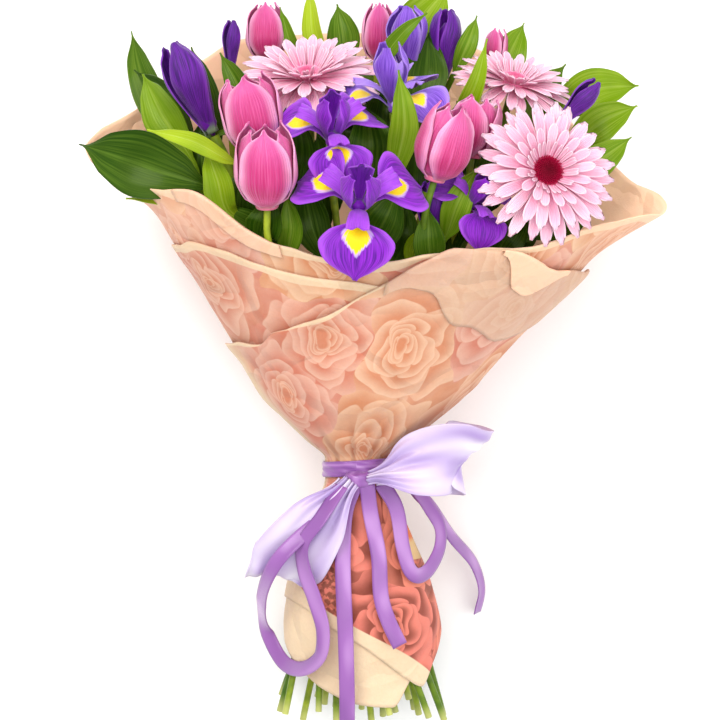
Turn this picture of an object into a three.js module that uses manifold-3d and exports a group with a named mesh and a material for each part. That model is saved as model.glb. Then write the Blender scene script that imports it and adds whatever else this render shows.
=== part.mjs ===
// A hand-tied bouquet of tulips, irises and gerberas with their leaves, in a cone of
// wrapping paper tied with satin ribbon. It lies on its back on a table: +Z is up,
// the flower heads point along +Y and the cut stems along -Y. Millimetres.
import * as THREE from "three";
import Module from "manifold-3d";

const wasm = await Module();
wasm.setup();

const rad = THREE.MathUtils.degToRad;
const lerp = THREE.MathUtils.lerp;
const vec = (x, y, z) => new THREE.Vector3(x, y, z);

// ---------------------------------------------------------------- driving sizes

const GAP = 0.35; // clearance kept between neighbouring pieces
const PAPER = 0.8; // thickness of the wrapping paper
const PETAL = 1.0; // thickness of petals
const LEAF = 1.0; // thickness of leaves
const SATIN = 0.8; // thickness of ribbon
const NARROW = 11; // width of the narrow ribbon
const WIDE = 42; // width of the bow's ribbon
const STEM_FAN = 66; // how far the outermost cut ends stand from the middle
const NECK_ROOM = 15.8; // radius inside the tie that the stems' middles share
const STEM_PITCH = 5.7; // closest that two stems' middles lie to each other

// Places are read as an eye straight above sees them: across and along in the plane
// that lies SIGHT_PLANE above the table, with the height above the table beside them.
// The point under the tie is zero.
const EYE = { x: 2, y: 77, height: 1900 };
const SIGHT_PLANE = 130;

function seen(across, along, height) {
  const reach = (EYE.height - height) / (EYE.height - SIGHT_PLANE);
  return vec(EYE.x + (across - EYE.x) * reach, EYE.y + (along - EYE.y) * reach, height);
}

// ---------------------------------------------------------------- curves

// A smooth function through [place, value] pairs that never overshoots them.
function through(knots) {
  const slopes = knots.map((knot, i) => {
    if (i === 0 || i === knots.length - 1) return 0;
    const [before, after] = [knots[i - 1], knots[i + 1]];
    const left = (knot[1] - before[1]) / (knot[0] - before[0]);
    const right = (after[1] - knot[1]) / (after[0] - knot[0]);
    return left * right <= 0 ? 0 : (2 * left * right) / (left + right);
  });
  return (place) => {
    const x = THREE.MathUtils.clamp(place, knots[0][0], knots.at(-1)[0]);
    let i = 0;
    while (i < knots.length - 2 && x > knots[i + 1][0]) i++;
    const span = knots[i + 1][0] - knots[i][0];
    const t = (x - knots[i][0]) / span;
    const [start, end] = [knots[i][1], knots[i + 1][1]];
    return (
      start * (1 + 2 * t) * (1 - t) ** 2 +
      slopes[i] * span * t * (1 - t) ** 2 +
      end * t * t * (3 - 2 * t) +
      slopes[i + 1] * span * t * t * (t - 1)
    );
  };
}

// ---------------------------------------------------------------- solids

function solid(points, triangles) {
  const make = (faces) =>
    new wasm.Manifold(
      new wasm.Mesh({
        numProp: 3,
        vertProperties: new Float32Array(points.flatMap((p) => p.toArray())),
        triVerts: new Uint32Array(faces.flat()),
      }),
    );
  const made = make(triangles);
  return made.volume() > 0 ? made : make(triangles.map((t) => [...t].reverse()));
}

const join = (solids) => wasm.Manifold.union(solids);

// A thin solid around a grid of points. Both faces are split alike. A round grid closes
// on itself across. grow thickens it and pushes its edges out.
function shell(grid, thickness, grow = 0, round = false) {
  const rows = grid.length;
  const cols = grid[0].length;
  const wide = grid.map((row) => row.map((p) => p.clone()));
  if (grow) {
    const push = (edge, inner) => edge.addScaledVector(edge.clone().sub(inner).normalize(), grow);
    for (let j = 0; j < cols; j++) {
      push(wide[0][j], grid[1][j]);
      push(wide[rows - 1][j], grid[rows - 2][j]);
    }
    for (let i = 0; i < rows && !round; i++) {
      push(wide[i][0], grid[i][1]);
      push(wide[i][cols - 1], grid[i][cols - 2]);
    }
  }
  const column = (j) => (round ? (j + cols) % cols : THREE.MathUtils.clamp(j, 0, cols - 1));
  const normals = wide.map((row, i) =>
    row.map((_, j) => {
      const down = wide[Math.min(i + 1, rows - 1)][j].clone().sub(wide[Math.max(i - 1, 0)][j]);
      const across = row[column(j + 1)].clone().sub(row[column(j - 1)]);
      return down.cross(across).normalize();
    }),
  );
  const half = thickness / 2 + grow;
  const points = [half, -half].flatMap((side) =>
    wide.flatMap((row, i) => row.map((p, j) => p.clone().addScaledVector(normals[i][j], side))),
  );
  const back = rows * cols;
  const at = (i, j) => i * cols + column(j);
  const triangles = [];
  for (let i = 0; i < rows - 1; i++)
    for (let j = 0; j < (round ? cols : cols - 1); j++) {
      const [a, b, c, d] = [at(i, j), at(i + 1, j), at(i + 1, j + 1), at(i, j + 1)];
      triangles.push([a, b, c], [a, c, d]);
      triangles.push([a + back, c + back, b + back], [a + back, d + back, c + back]);
    }
  const hem = (p, q) => triangles.push([q, p, p + back], [q, p + back, q + back]);
  for (let i = 0; i < rows - 1 && !round; i++) {
    hem(at(i, 0), at(i + 1, 0));
    hem(at(i + 1, cols - 1), at(i, cols - 1));
  }
  for (let j = 0; j < (round ? cols : cols - 1); j++) {
    hem(at(rows - 1, j), at(rows - 1, j + 1));
    hem(at(0, j + 1), at(0, j));
  }
  return solid(points, triangles);
}

// A solid through rings of points, each ring a convex outline.
function loft(rings) {
  const sides = rings[0].length;
  const last = (rings.length - 1) * sides;
  const triangles = [];
  for (let i = 0; i < rings.length - 1; i++)
    for (let j = 0; j < sides; j++) {
      const [a, b] = [i * sides + j, i * sides + ((j + 1) % sides)];
      triangles.push([a, b, b + sides], [a, b + sides, a + sides]);
    }
  for (let j = 1; j < sides - 1; j++)
    triangles.push([0, j + 1, j], [last, last + j, last + j + 1]);
  return solid(rings.flat(), triangles);
}

// A round bar through points, with its radius as a function of the share of the points.
function bar(points, radius, sides, grow = 0) {
  const last = points.length - 1;
  const normal = vec(0.3, 0.2, 1);
  const rings = points.map((point, i) => {
    const along = points[Math.min(i + 1, last)].clone().sub(points[Math.max(i - 1, 0)]).normalize();
    normal.addScaledVector(along, -normal.dot(along)).normalize();
    const side = along.clone().cross(normal);
    const middle = point.clone().addScaledVector(along, i === 0 ? -grow : i === last ? grow : 0);
    const r = radius(i / last) + grow;
    return Array.from({ length: sides }, (_, j) => {
      const turn = (2 * Math.PI * j) / sides;
      const out = normal.clone().multiplyScalar(Math.cos(turn)).addScaledVector(side, Math.sin(turn));
      return middle.clone().addScaledVector(out, r);
    });
  });
  return loft(rings);
}

// The points of a blade along a curve. face is the way that its upper side looks, or
// across the way from edge to edge. cup lifts the edges, as a share of half the width.
function bladeGrid(points, { width, rows, cols = 2, cup = 0, face, lastFace = face, across }) {
  const curve = new THREE.CatmullRomCurve3(points, false, "centripetal");
  return Array.from({ length: rows + 1 }, (_, i) => {
    const t = i / rows;
    const middle = curve.getPointAt(t);
    const along = curve.getTangentAt(t);
    const look = across ? across.clone().cross(along) : face.clone().lerp(lastFace, t);
    const side = along.clone().cross(look).normalize();
    const up = side.clone().cross(along).normalize();
    const half = width(t) / 2;
    return Array.from({ length: cols + 1 }, (_, j) => {
      const v = (2 * j) / cols - 1;
      return middle
        .clone()
        .addScaledVector(side, half * v)
        .addScaledVector(up, half * cup * v * v);
    });
  });
}

const blade = (points, form, thickness, grow) =>
  shell(bladeGrid(points, form), thickness, grow);

// ---------------------------------------------------------------- the wrapper's cone

// All of these run along the bouquet from the tie, and are shared by paper and stems.
const coneWidth = through([
  [-180, 49], [-120, 54], [-85, 48], [-50, 35], [-20, 23], [-7, 20], [7, 20], [21, 34],
  [50, 66], [95, 100], [133, 131], [167, 157], [190, 175], [230, 199], [340, 213],
]);
const coneAcross = through([
  [-190, 4], [0, 0], [50, 4.5], [95, 11.5], [133, 20], [167, 24], [190, 29], [340, 35],
]);
const coneHeight = through([[-190, 47], [0, 90], [190, 128], [340, 152]]);
const coneFlat = through([
  [-180, 0.86], [-60, 0.92], [0, 1], [30, 0.9], [95, 0.76], [133, 0.72], [340, 0.72],
]);
const plyGap = through([
  [-180, 2], [-40, 1.8], [-9, 1.3], [7, 1.4], [15, 2], [60, 2.3], [190, 2.6],
]);

// A point on the cone. turn is 0 at the top, 90 on the right and 180 at the table.
function onCone(turn, along, out = 0) {
  const angle = rad(turn);
  const width = coneWidth(along);
  return vec(
    coneAcross(along) + (width + out) * Math.sin(angle),
    along,
    coneHeight(along) + (width * coneFlat(along) + out) * Math.cos(angle),
  );
}

// ---------------------------------------------------------------- wrapping paper

// Every sheet has its creases on the same lines round the cone, so that plies never cross.
const CREASES = 24;
const CREASE = 360 / CREASES;

// The middle of the patch where the long sheet lies flat on the table.
const REST = vec(34, 272, 0);

// The paper's two free corners spring out sideways past the cone.
const CORNERS = [
  { turn: -92, reach: -24, wide: 16, from: 175 },
  { turn: 92, reach: 24, wide: 16, from: 145 },
];

function paperPoint(turn, along, ply) {
  const p = onCone(turn, along, ply * plyGap(along));
  for (const corner of CORNERS) {
    const near = Math.exp(-(((turn - corner.turn) / corner.wide) ** 2));
    p.x += corner.reach * near * THREE.MathUtils.smoothstep(along, corner.from, corner.from + 45);
  }
  p.z = Math.max(p.z, PAPER / 2);
  return p;
}

// A grid of paper between two creases. Each level is a function of turn: [along, ply].
const paperGrid = (from, to, levels, round) =>
  levels.map((level) =>
    Array.from({ length: round ? CREASES : to - from + 1 }, (_, j) => {
      const turn = (from + j) * CREASE;
      return paperPoint(turn, ...level(turn));
    }),
  );

// Every sheet has its rings of points at these levels, and then goes on to hem or rim. The
// skirt is widest at its bulge.
const BULGE = -118;
const LEVELS = [-85, -50, -22, -7, 7, 22, 45, 75];

// A sheet from hem to rim, drawn in at the tie, with parts of its rim turned down outside.
// rim and hem are [turn, along] pairs. A fold's depth is how far it comes down.
function paper({ ply, from, to, rim, hem, folds = [] }, grow) {
  const [top, bottom] = [through(rim), through(hem)];
  const round = to - from === CREASES;
  const lower = [
    (turn) => [bottom(turn), ply],
    (turn) => [Math.max(BULGE, lerp(bottom(turn), LEVELS[0], 0.3)), ply],
  ];
  const middle = LEVELS.map((along) => () => [along, ply]);
  const upper = [0.6, 1].map((share) => (turn) => [lerp(LEVELS.at(-1), top(turn), share), ply]);
  const sheet = shell(paperGrid(from, to, [...lower, ...middle, ...upper], round), PAPER, grow, round);
  const turned = folds.map((fold) => {
    const depth = through(fold.depth);
    const outer = [0.05, 0.5, 1].map((share) => (turn) => [top(turn) - share * depth(turn), fold.ply]);
    const crown = (turn) => [top(turn) + 0.2, ply];
    return shell(paperGrid(fold.from, fold.to, [crown, ...outer]), PAPER, grow);
  });
  return join([sheet, ...turned]);
}

const SHEETS = {
  // The long sheet: it lies flat on the table behind the heads and closes round them.
  paper_back: {
    ply: 0, from: -12, to: 12,
    rim: [
      [-180, 322], [-150, 318], [-136, 300], [-124, 276], [-106, 246], [-92, 226], [-80, 198],
      [-52, 190], [-38, 163], [-20, 146], [0, 142], [15, 148], [40, 153], [60, 166], [78, 176],
      [92, 180], [106, 196], [122, 212], [137, 240], [153, 288], [180, 322],
    ],
    hem: [[-180, -118], [180, -118]],
    folds: [{ from: -4, to: -2, ply: 1, depth: [[-60, 8], [-45, 15], [-30, 8]] }],
  },
  // The sheet over the left of the front, whose lower end is the plain left of the skirt.
  paper_left: {
    ply: 1, from: -9, to: 3,
    rim: [
      [-135, 120], [-110, 150], [-90, 158], [-67, 158], [-50, 150], [-38, 142], [-18, 130],
      [0, 126], [45, 124],
    ],
    hem: [
      [-135, -100], [-90, -124], [-60, -142], [-30, -160], [0, -170], [25, -172], [45, -150],
    ],
  },
  // The sheet over the right of the front, drawn across the other one, with a broad turn-down.
  paper_right: {
    ply: 2, from: -6, to: 9,
    rim: [
      [-90, 90], [-51, 89], [-33, 99], [-18, 106], [-6, 120], [9, 140], [17, 150], [35, 149],
      [50, 139], [70, 138], [90, 141], [110, 124], [135, 96],
    ],
    hem: [
      [-90, -94], [-70, -95], [-48, -99], [-20, -114], [0, -126], [30, -148], [52, -158],
      [66, -140], [90, -118], [135, -96],
    ],
    folds: [
      { from: 0, to: 6, ply: 3, depth: [[0, 8], [30, 50], [60, 47], [90, 34]] },
      { from: 2, to: 4, ply: 4, depth: [[30, 3], [40, 22], [45, 22], [60, 3]] },
    ],
  },
};

// ---------------------------------------------------------------- tulip

// Flowers are made upright on their own axis, +Z, with the top of the stem at zero.
const TULIP_PROFILE = through([[0, 0.3], [0.14, 0.74], [0.4, 1], [0.7, 0.92], [0.88, 0.72], [1, 0.5]]);
const TULIP_SPREAD = through([[0, 40], [0.3, 57], [0.62, 54], [0.86, 37], [1, 5]]);

// Three outer petals and three inner ones, rolled into a cup.
function tulip({ height, girth, open = 0, rows = 3, cols = 3, inset = 2.7 }, grow) {
  const petal = (turn, inwards, tall) => {
    const grid = Array.from({ length: rows + 1 }, (_, i) => {
      const t = (i / rows) ** 0.9;
      const wall = (girth / 2) * TULIP_PROFILE(t) - inwards + open * t * t;
      const radius = Math.max(wall, girth * 0.1);
      return Array.from({ length: cols + 1 }, (_, j) => {
        const angle = rad(turn + TULIP_SPREAD(t) * ((2 * j) / cols - 1));
        return vec(radius * Math.cos(angle), radius * Math.sin(angle), tall * t);
      });
    });
    return shell(grid, PETAL, grow);
  };
  const outer = [0, 120, 240].map((turn) => petal(turn, 0, height));
  const inner = [60, 180, 300].map((turn) => petal(turn, inset, height * 0.97));
  const root = bar([vec(0, 0, -1), vec(0, 0, 4)], () => girth * 0.19, 6, grow);
  return join([...outer, ...inner, root]);
}

// ---------------------------------------------------------------- iris

const radial = (turn, pairs) =>
  pairs.map(([out, up]) => vec(out * Math.cos(rad(turn)), out * Math.sin(rad(turn)), up));

const FALL_WIDTH = through([[0, 5], [0.36, 11], [0.52, 33], [0.72, 49], [0.88, 40], [1, 10]]);
const STANDARD_WIDTH = through([[0, 4], [0.4, 12], [0.75, 19], [1, 6]]);
const STYLE_WIDTH = through([[0, 5], [0.5, 13], [1, 17]]);

// Three falls spread and hang, with a style arm over each, and three standards between.
function iris({ size = 1, droop = 1, spin = 0 }, grow) {
  const scaled = (pairs) => pairs.map(([out, up]) => [out * size, up * size]);
  const parts = [0, 120, 240].flatMap((third) => {
    const turn = spin + third;
    const out = radial(turn, [[1, 0]])[0];
    const up = vec(0, 0, 1);
    const bend = [[28, 18 - 2 * droop], [42, 14 - 8 * droop], [52, 6 - 14 * droop]];
    const fall = radial(turn, scaled([[3, 2], [13, 13], ...bend]));
    const style = radial(turn, scaled([[3.2, 8], [10, 21], [21, 29], [30, 30]]));
    const standard = radial(turn + 60, scaled([[3, 4], [11, 22], [14, 40], [8, 56]]));
    const inwards = radial(turn + 60, [[-1, 0]])[0];
    const petal = (points, widths, form) =>
      blade(points, { width: (t) => widths(t) * size, ...form }, PETAL, grow);
    return [
      petal(fall, FALL_WIDTH, { rows: 4, cup: 0.12, face: up, lastFace: out.clone().add(up) }),
      petal(style, STYLE_WIDTH, { rows: 2, cup: -0.3, face: up.clone().addScaledVector(out, -1.7) }),
      petal(standard, STANDARD_WIDTH, { rows: 2, cup: 0.35, face: inwards }),
    ];
  });
  const tube = bar([vec(0, 0, -2), vec(0, 0, 11 * size)], () => 5 * size, 6, grow);
  return join([...parts, tube]);
}

const BUD_PROFILE = through([[0, 0.28], [0.3, 0.62], [0.68, 1], [0.88, 0.8], [1, 0.42]]);

// A closed iris: three petals rolled round each other and a core.
function irisBud({ height, girth, twist = 50 }, grow) {
  const [rows, cols] = [3, 2];
  const petals = [0, 120, 240].map((turn) => {
    const grid = Array.from({ length: rows + 1 }, (_, i) => {
      const t = i / rows;
      return Array.from({ length: cols + 1 }, (_, j) => {
        const v = (2 * j) / cols - 1;
        const angle = rad(turn + twist * t + 70 * v * (1 - 0.5 * t * t));
        const radius = (girth / 2) * BUD_PROFILE(t) + v * 1.3;
        return vec(radius * Math.cos(angle), radius * Math.sin(angle), height * t * (1 - 0.05 * v * v));
      });
    });
    return shell(grid, PETAL, grow);
  });
  const core = bar([vec(0, 0, -2), vec(0, 0, height * 0.8)], (t) => girth * (0.2 + 0.08 * t), 6, grow);
  return join([...petals, core]);
}

// ---------------------------------------------------------------- gerbera

const RAY_RINGS = [
  { count: 17, reach: 1, width: 14.4, lift: 4, drop: 7, root: -1.5 },
  { count: 13, reach: 0.84, width: 13.4, lift: 17, drop: 5, root: 0 },
  { count: 8, reach: 0.52, width: 8, lift: 38, drop: 2, root: 1.5 },
];
const DISC = 10; // radius of the florets in the middle
const RAY_TOP = 0.3; // a ray's flat upper side and its keel, above and below its middle line
const RAY_KEEL = 1.1;

// A ring's rays are flat above and keeled below, so the outline across one is a wedge.
function gerbera({ radius }, grow) {
  const [top, keel] = [RAY_TOP + grow, -RAY_KEEL - grow];
  const lips = grow ? [[-1, RAY_TOP - grow], [0, keel], [1, RAY_TOP - grow]] : [[0, keel]];
  const section = [[1, top], [-1, top], ...lips];
  const rays = RAY_RINGS.flatMap(({ count, reach, width, lift, drop, root }) =>
    Array.from({ length: count }, (_, i) => {
      const turn = (360 * (i + reach * 3)) / count;
      const out = radial(turn, [[1, 0]])[0];
      const side = vec(-out.y, out.x, 0);
      const stations = [[0, 0.22], [0.7, 1], [1, 0.42]];
      const rings = stations.map(([share, part]) => {
        const far = lerp(DISC + 1, radius * reach, share) + (share === 1 ? grow : 0);
        const up = root + (far - DISC) * Math.tan(rad(lift)) - drop * share * share;
        const middle = out.clone().multiplyScalar(far).setZ(up);
        const half = (width * part * radius) / 110 + grow;
        return section.map(([across, rise]) =>
          middle.clone().addScaledVector(side, half * across).add(vec(0, 0, rise)),
        );
      });
      return loft(rings);
    }),
  );
  const [low, high] = [-4.5 - grow, 4 + grow];
  const [near, far] = [DISC + 0.4 - grow, DISC + 4 + grow];
  const ring = [[near, low], [far, low], [far, high], [near, high], [near, low]];
  const lathe = new THREE.LatheGeometry(ring.map(([x, y]) => new THREE.Vector2(x, y)), 12);
  return join([turned(lathe), ...rays]);
}

// A lathe's closed profile as a solid, with its axis turned from Y to Z.
function turned(lathe) {
  lathe.rotateX(Math.PI / 2);
  const { position } = lathe.attributes;
  const profile = lathe.parameters.points.length - 1;
  const steps = lathe.parameters.segments;
  const rings = Array.from({ length: steps }, (_, i) =>
    Array.from({ length: profile }, (_, j) =>
      vec().fromBufferAttribute(position, i * (profile + 1) + j),
    ),
  );
  const triangles = [];
  for (let i = 0; i < steps; i++)
    for (let j = 0; j < profile; j++) {
      const [a, b] = [i * profile + j, i * profile + ((j + 1) % profile)];
      const [c, d] = [a, b].map((k) => (k + profile) % (steps * profile));
      triangles.push([a, b, d], [a, d, c]);
    }
  return solid(rings.flat(), triangles);
}

// The packed florets in a gerbera's middle, a low dome with a stub for the stem.
function gerberaDisc(_, grow) {
  const rings = [[-5, 0.9], [0, 1], [2.4, 0.86], [4, 0.45]].map(([up, part]) =>
    Array.from({ length: 12 }, (_, j) => {
      const turn = (2 * Math.PI * j) / 12;
      const r = (DISC - 0.2) * part + grow;
      return vec(r * Math.cos(turn), r * Math.sin(turn), up + (up > 3 ? grow : up < 0 ? -grow : 0));
    }),
  );
  return loft(rings);
}

// ---------------------------------------------------------------- where the flowers are

const TULIP = { make: tulip, color: 0xe0408c };
const IRIS = { make: iris, color: 0x4b1fa8 };
const IRIS_BLUE = { make: iris, color: 0x6f5fc8 };
const BUD = { make: irisBud, color: 0x4b1fa8 };
const BUD_BLUE = { make: irisBud, color: 0x6f5fc8 };
const GERBERA = { make: gerbera, color: 0xf2a9c4, discColor: 0x8c0f2e };

// at is across, along, height as seen from above; aim is the way the flower looks.
const FLOWERS = {
  tulip_left: {
    ...TULIP, at: [-68, 221, 172], aim: [-0.19, 0.95, 0.2], spin: 30,
    form: { height: 55, girth: 40, open: 4 },
  },
  tulip_front: {
    ...TULIP, at: [-63, 184, 212], aim: [-0.02, 0.93, 0.36], spin: -90,
    form: { height: 57, girth: 41, open: 2 },
  },
  tulip_right: {
    ...TULIP, at: [54, 203, 205], aim: [0.25, 0.92, 0.26], spin: -60,
    form: { height: 54, girth: 38 },
  },
  tulip_middle: {
    ...TULIP, at: [80, 219, 166], aim: [0.14, 0.97, 0.16], spin: 0,
    form: { height: 42, girth: 34, open: 3, cols: 2, inset: 3.8 },
  },
  tulip_top_left: {
    ...TULIP, at: [-63, 286, 66], aim: [-0.02, 0.99, 0.1], spin: 30,
    form: { height: 42, girth: 30, cols: 2, inset: 3.6 },
  },
  tulip_top: {
    ...TULIP, at: [14, 286, 58], aim: [0.04, 0.99, 0.12], spin: -90,
    form: { height: 42, girth: 24, cols: 2, inset: 3.2 },
  },
  tulip_small: {
    ...TULIP, at: [96, 284, 62], aim: [0.1, 0.98, 0.1], spin: 0,
    form: { height: 26, girth: 17, cols: 2, inset: 2.6 },
  },
  iris_front: {
    ...IRIS, at: [1, 181, 220], aim: [0.03, 0.42, 0.9], spin: -93,
    form: { size: 0.92 },
  },
  iris_upper: {
    ...IRIS, at: [-18, 229, 192], aim: [0.04, 0.62, 0.78], spin: -78,
    form: { size: 0.8 },
  },
  iris_blue: {
    ...IRIS_BLUE, at: [26, 252, 156], aim: [-0.08, 0.88, 0.46], spin: 190,
    form: { size: 0.86, droop: 0.5 },
  },
  iris_low: {
    ...IRIS, at: [80, 184, 178], aim: [0.36, 0.5, 0.75], spin: 40,
    form: { size: 0.66, droop: 0.6 },
  },
  iris_side: {
    ...BUD, at: [52, 160, 172], aim: [-0.02, 0.96, 0.26], spin: 0,
    form: { height: 42, girth: 19 },
  },
  iris_half: {
    ...BUD_BLUE, at: [36, 276, 84], aim: [-0.02, 0.98, 0.18], spin: 0,
    form: { height: 50, girth: 28, twist: 20 },
  },
  bud_left: {
    ...BUD, at: [-101, 236, 142], aim: [-0.42, 0.89, 0.14], spin: 0,
    form: { height: 68, girth: 29 },
  },
  bud_top: {
    ...BUD, at: [60, 274, 78], aim: [0.04, 0.99, 0.1], spin: 40,
    form: { height: 50, girth: 22 },
  },
  bud_thin: {
    ...BUD, at: [-88, 278, 64], aim: [0.02, 0.99, 0.1], spin: 0,
    form: { height: 38, girth: 12 },
  },
  bud_right: {
    ...BUD, at: [142, 242, 128], aim: [0.66, 0.74, 0.1], spin: 0,
    form: { height: 40, girth: 15 },
  },
  gerbera_left: {
    ...GERBERA, at: [-35, 276, 128], aim: [-0.06, 0.84, 0.54], spin: 0,
    form: { radius: 56 },
  },
  gerbera_right: {
    ...GERBERA, at: [133, 209, 194], aim: [0.26, 0.2, 0.94], spin: 10,
    form: { radius: 52 },
  },
  gerbera_back: {
    ...GERBERA, at: [110, 272, 110], aim: [0.22, 0.87, 0.44], spin: 5,
    form: { radius: 47 },
  },
};

// The matrix that stands a flower on its place: its axis along aim, turned by spin.
function stand({ at, aim, spin }) {
  const axis = vec(...aim).normalize();
  const side = vec(1, 0, 0).addScaledVector(axis, -axis.x).normalize();
  const basis = new THREE.Matrix4().makeBasis(side, axis.clone().cross(side), axis);
  return basis.multiply(new THREE.Matrix4().makeRotationZ(rad(spin))).setPosition(seen(...at));
}

// ---------------------------------------------------------------- stems

// Leafy shoots that carry no flower, by the place where their stem ends.
const SHOOTS = {
  shoot_left: { at: [-112, 196, 134], aim: [-0.6, 0.75, 0.1] },
  shoot_right: { at: [136, 226, 96], aim: [0.5, 0.85, -0.05] },
  shoot_top: { at: [10, 268, 40], aim: [0.1, 0.99, 0] },
  shoot_low: { at: [-30, 130, 176], aim: [-0.1, 0.8, 0.5] },
  shoot_low_right: { at: [104, 140, 150], aim: [0.4, 0.85, 0.3] },
};

const STEM_RADIUS = { tulip: 2.6, iris: 2.65, bud: 2.65, gerbera: 2.5, shoot: 2.5 };

// How far below the flower's own zero its stem ends.
const STEM_DROP = { tulip: 1.4, iris: 2.4, bud: 2.4, gerbera: 5.4, shoot: 0 };
const TWIST = through([[-190, -42], [0, 0], [300, 24]]);
const STEM_LEVELS = [-80, -10, 10, 40, 80, 130, 190];
const spread = through([
  [-190, STEM_FAN / NECK_ROOM], [-105, 2.6], [-35, 1.35], [-10, 1], [10, 1], [40, 2.2],
  [75, 4.2], [190, 8.6], [340, 10.4],
]);
const stemFlat = through([[-190, 0.6], [-105, 0.8], [0, 1], [30, 0.9], [95, 0.76], [340, 0.72]]);

// A stem's middle where it passes a level, from its own place in the bundle, and back.
function inBundle(place, along) {
  const turned = place.clone().rotateAround(new THREE.Vector2(), rad(TWIST(along)));
  turned.multiplyScalar(spread(along));
  return vec(coneAcross(along) + turned.x, along, coneHeight(along) + turned.y * stemFlat(along));
}

function placeInBundle(point) {
  const off = new THREE.Vector2(
    point.x - coneAcross(point.y),
    (point.z - coneHeight(point.y)) / stemFlat(point.y),
  );
  return off.divideScalar(spread(point.y)).rotateAround(new THREE.Vector2(), -rad(TWIST(point.y)));
}

// Stems push each other apart where a level crosses them, until each has its own place.
function crowd(places, pitch, room) {
  for (let round = 0; round < 300; round++) {
    places.forEach((one, i) => {
      for (const other of places.slice(i + 1)) {
        const apart = one.clone().sub(other);
        const short = pitch - apart.length();
        if (short <= 0) continue;
        apart.setLength(short / 2);
        one.add(apart);
        other.sub(apart);
      }
    });
    for (const one of places) if (one.length() > room) one.setLength(room);
  }
}

const STALKS = Object.entries({ ...FLOWERS, ...SHOOTS }).map(([name, { at, aim }], i) => {
  const kind = name.split("_")[0];
  const axis = vec(...aim).normalize();
  const top = seen(...at).addScaledVector(axis, -STEM_DROP[kind]);
  const below = top.clone().addScaledVector(axis, -22);
  const home = placeInBundle(below);
  const end = -170 - ((i * 37) % 11) * 1.9;
  return { name, kind, top, below, home, tied: home.clone().clampLength(0, NECK_ROOM), end };
});

crowd(STALKS.map(({ tied }) => tied), STEM_PITCH, NECK_ROOM);
for (const stalk of STALKS) stalk.points = [inBundle(stalk.tied, stalk.end)];
for (const level of STEM_LEVELS) {
  const passing = STALKS.filter(({ below }) => below.y > level + 14);
  const places = passing.map(({ tied, home, below }) =>
    tied.clone().lerp(home, THREE.MathUtils.smoothstep(level, 10, below.y)),
  );
  if (level > 0) crowd(places, (STEM_PITCH + 0.6) / (spread(level) * stemFlat(level)), Infinity);
  passing.forEach(({ points }, i) => points.push(inBundle(places[i], level)));
}
for (const stalk of STALKS) stalk.points.push(stalk.below, stalk.top);

// ---------------------------------------------------------------- leaves

const BROAD = through([[0.3, 0.2], [0.42, 0.66], [0.62, 1], [0.82, 0.66], [1, 0]]);

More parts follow.
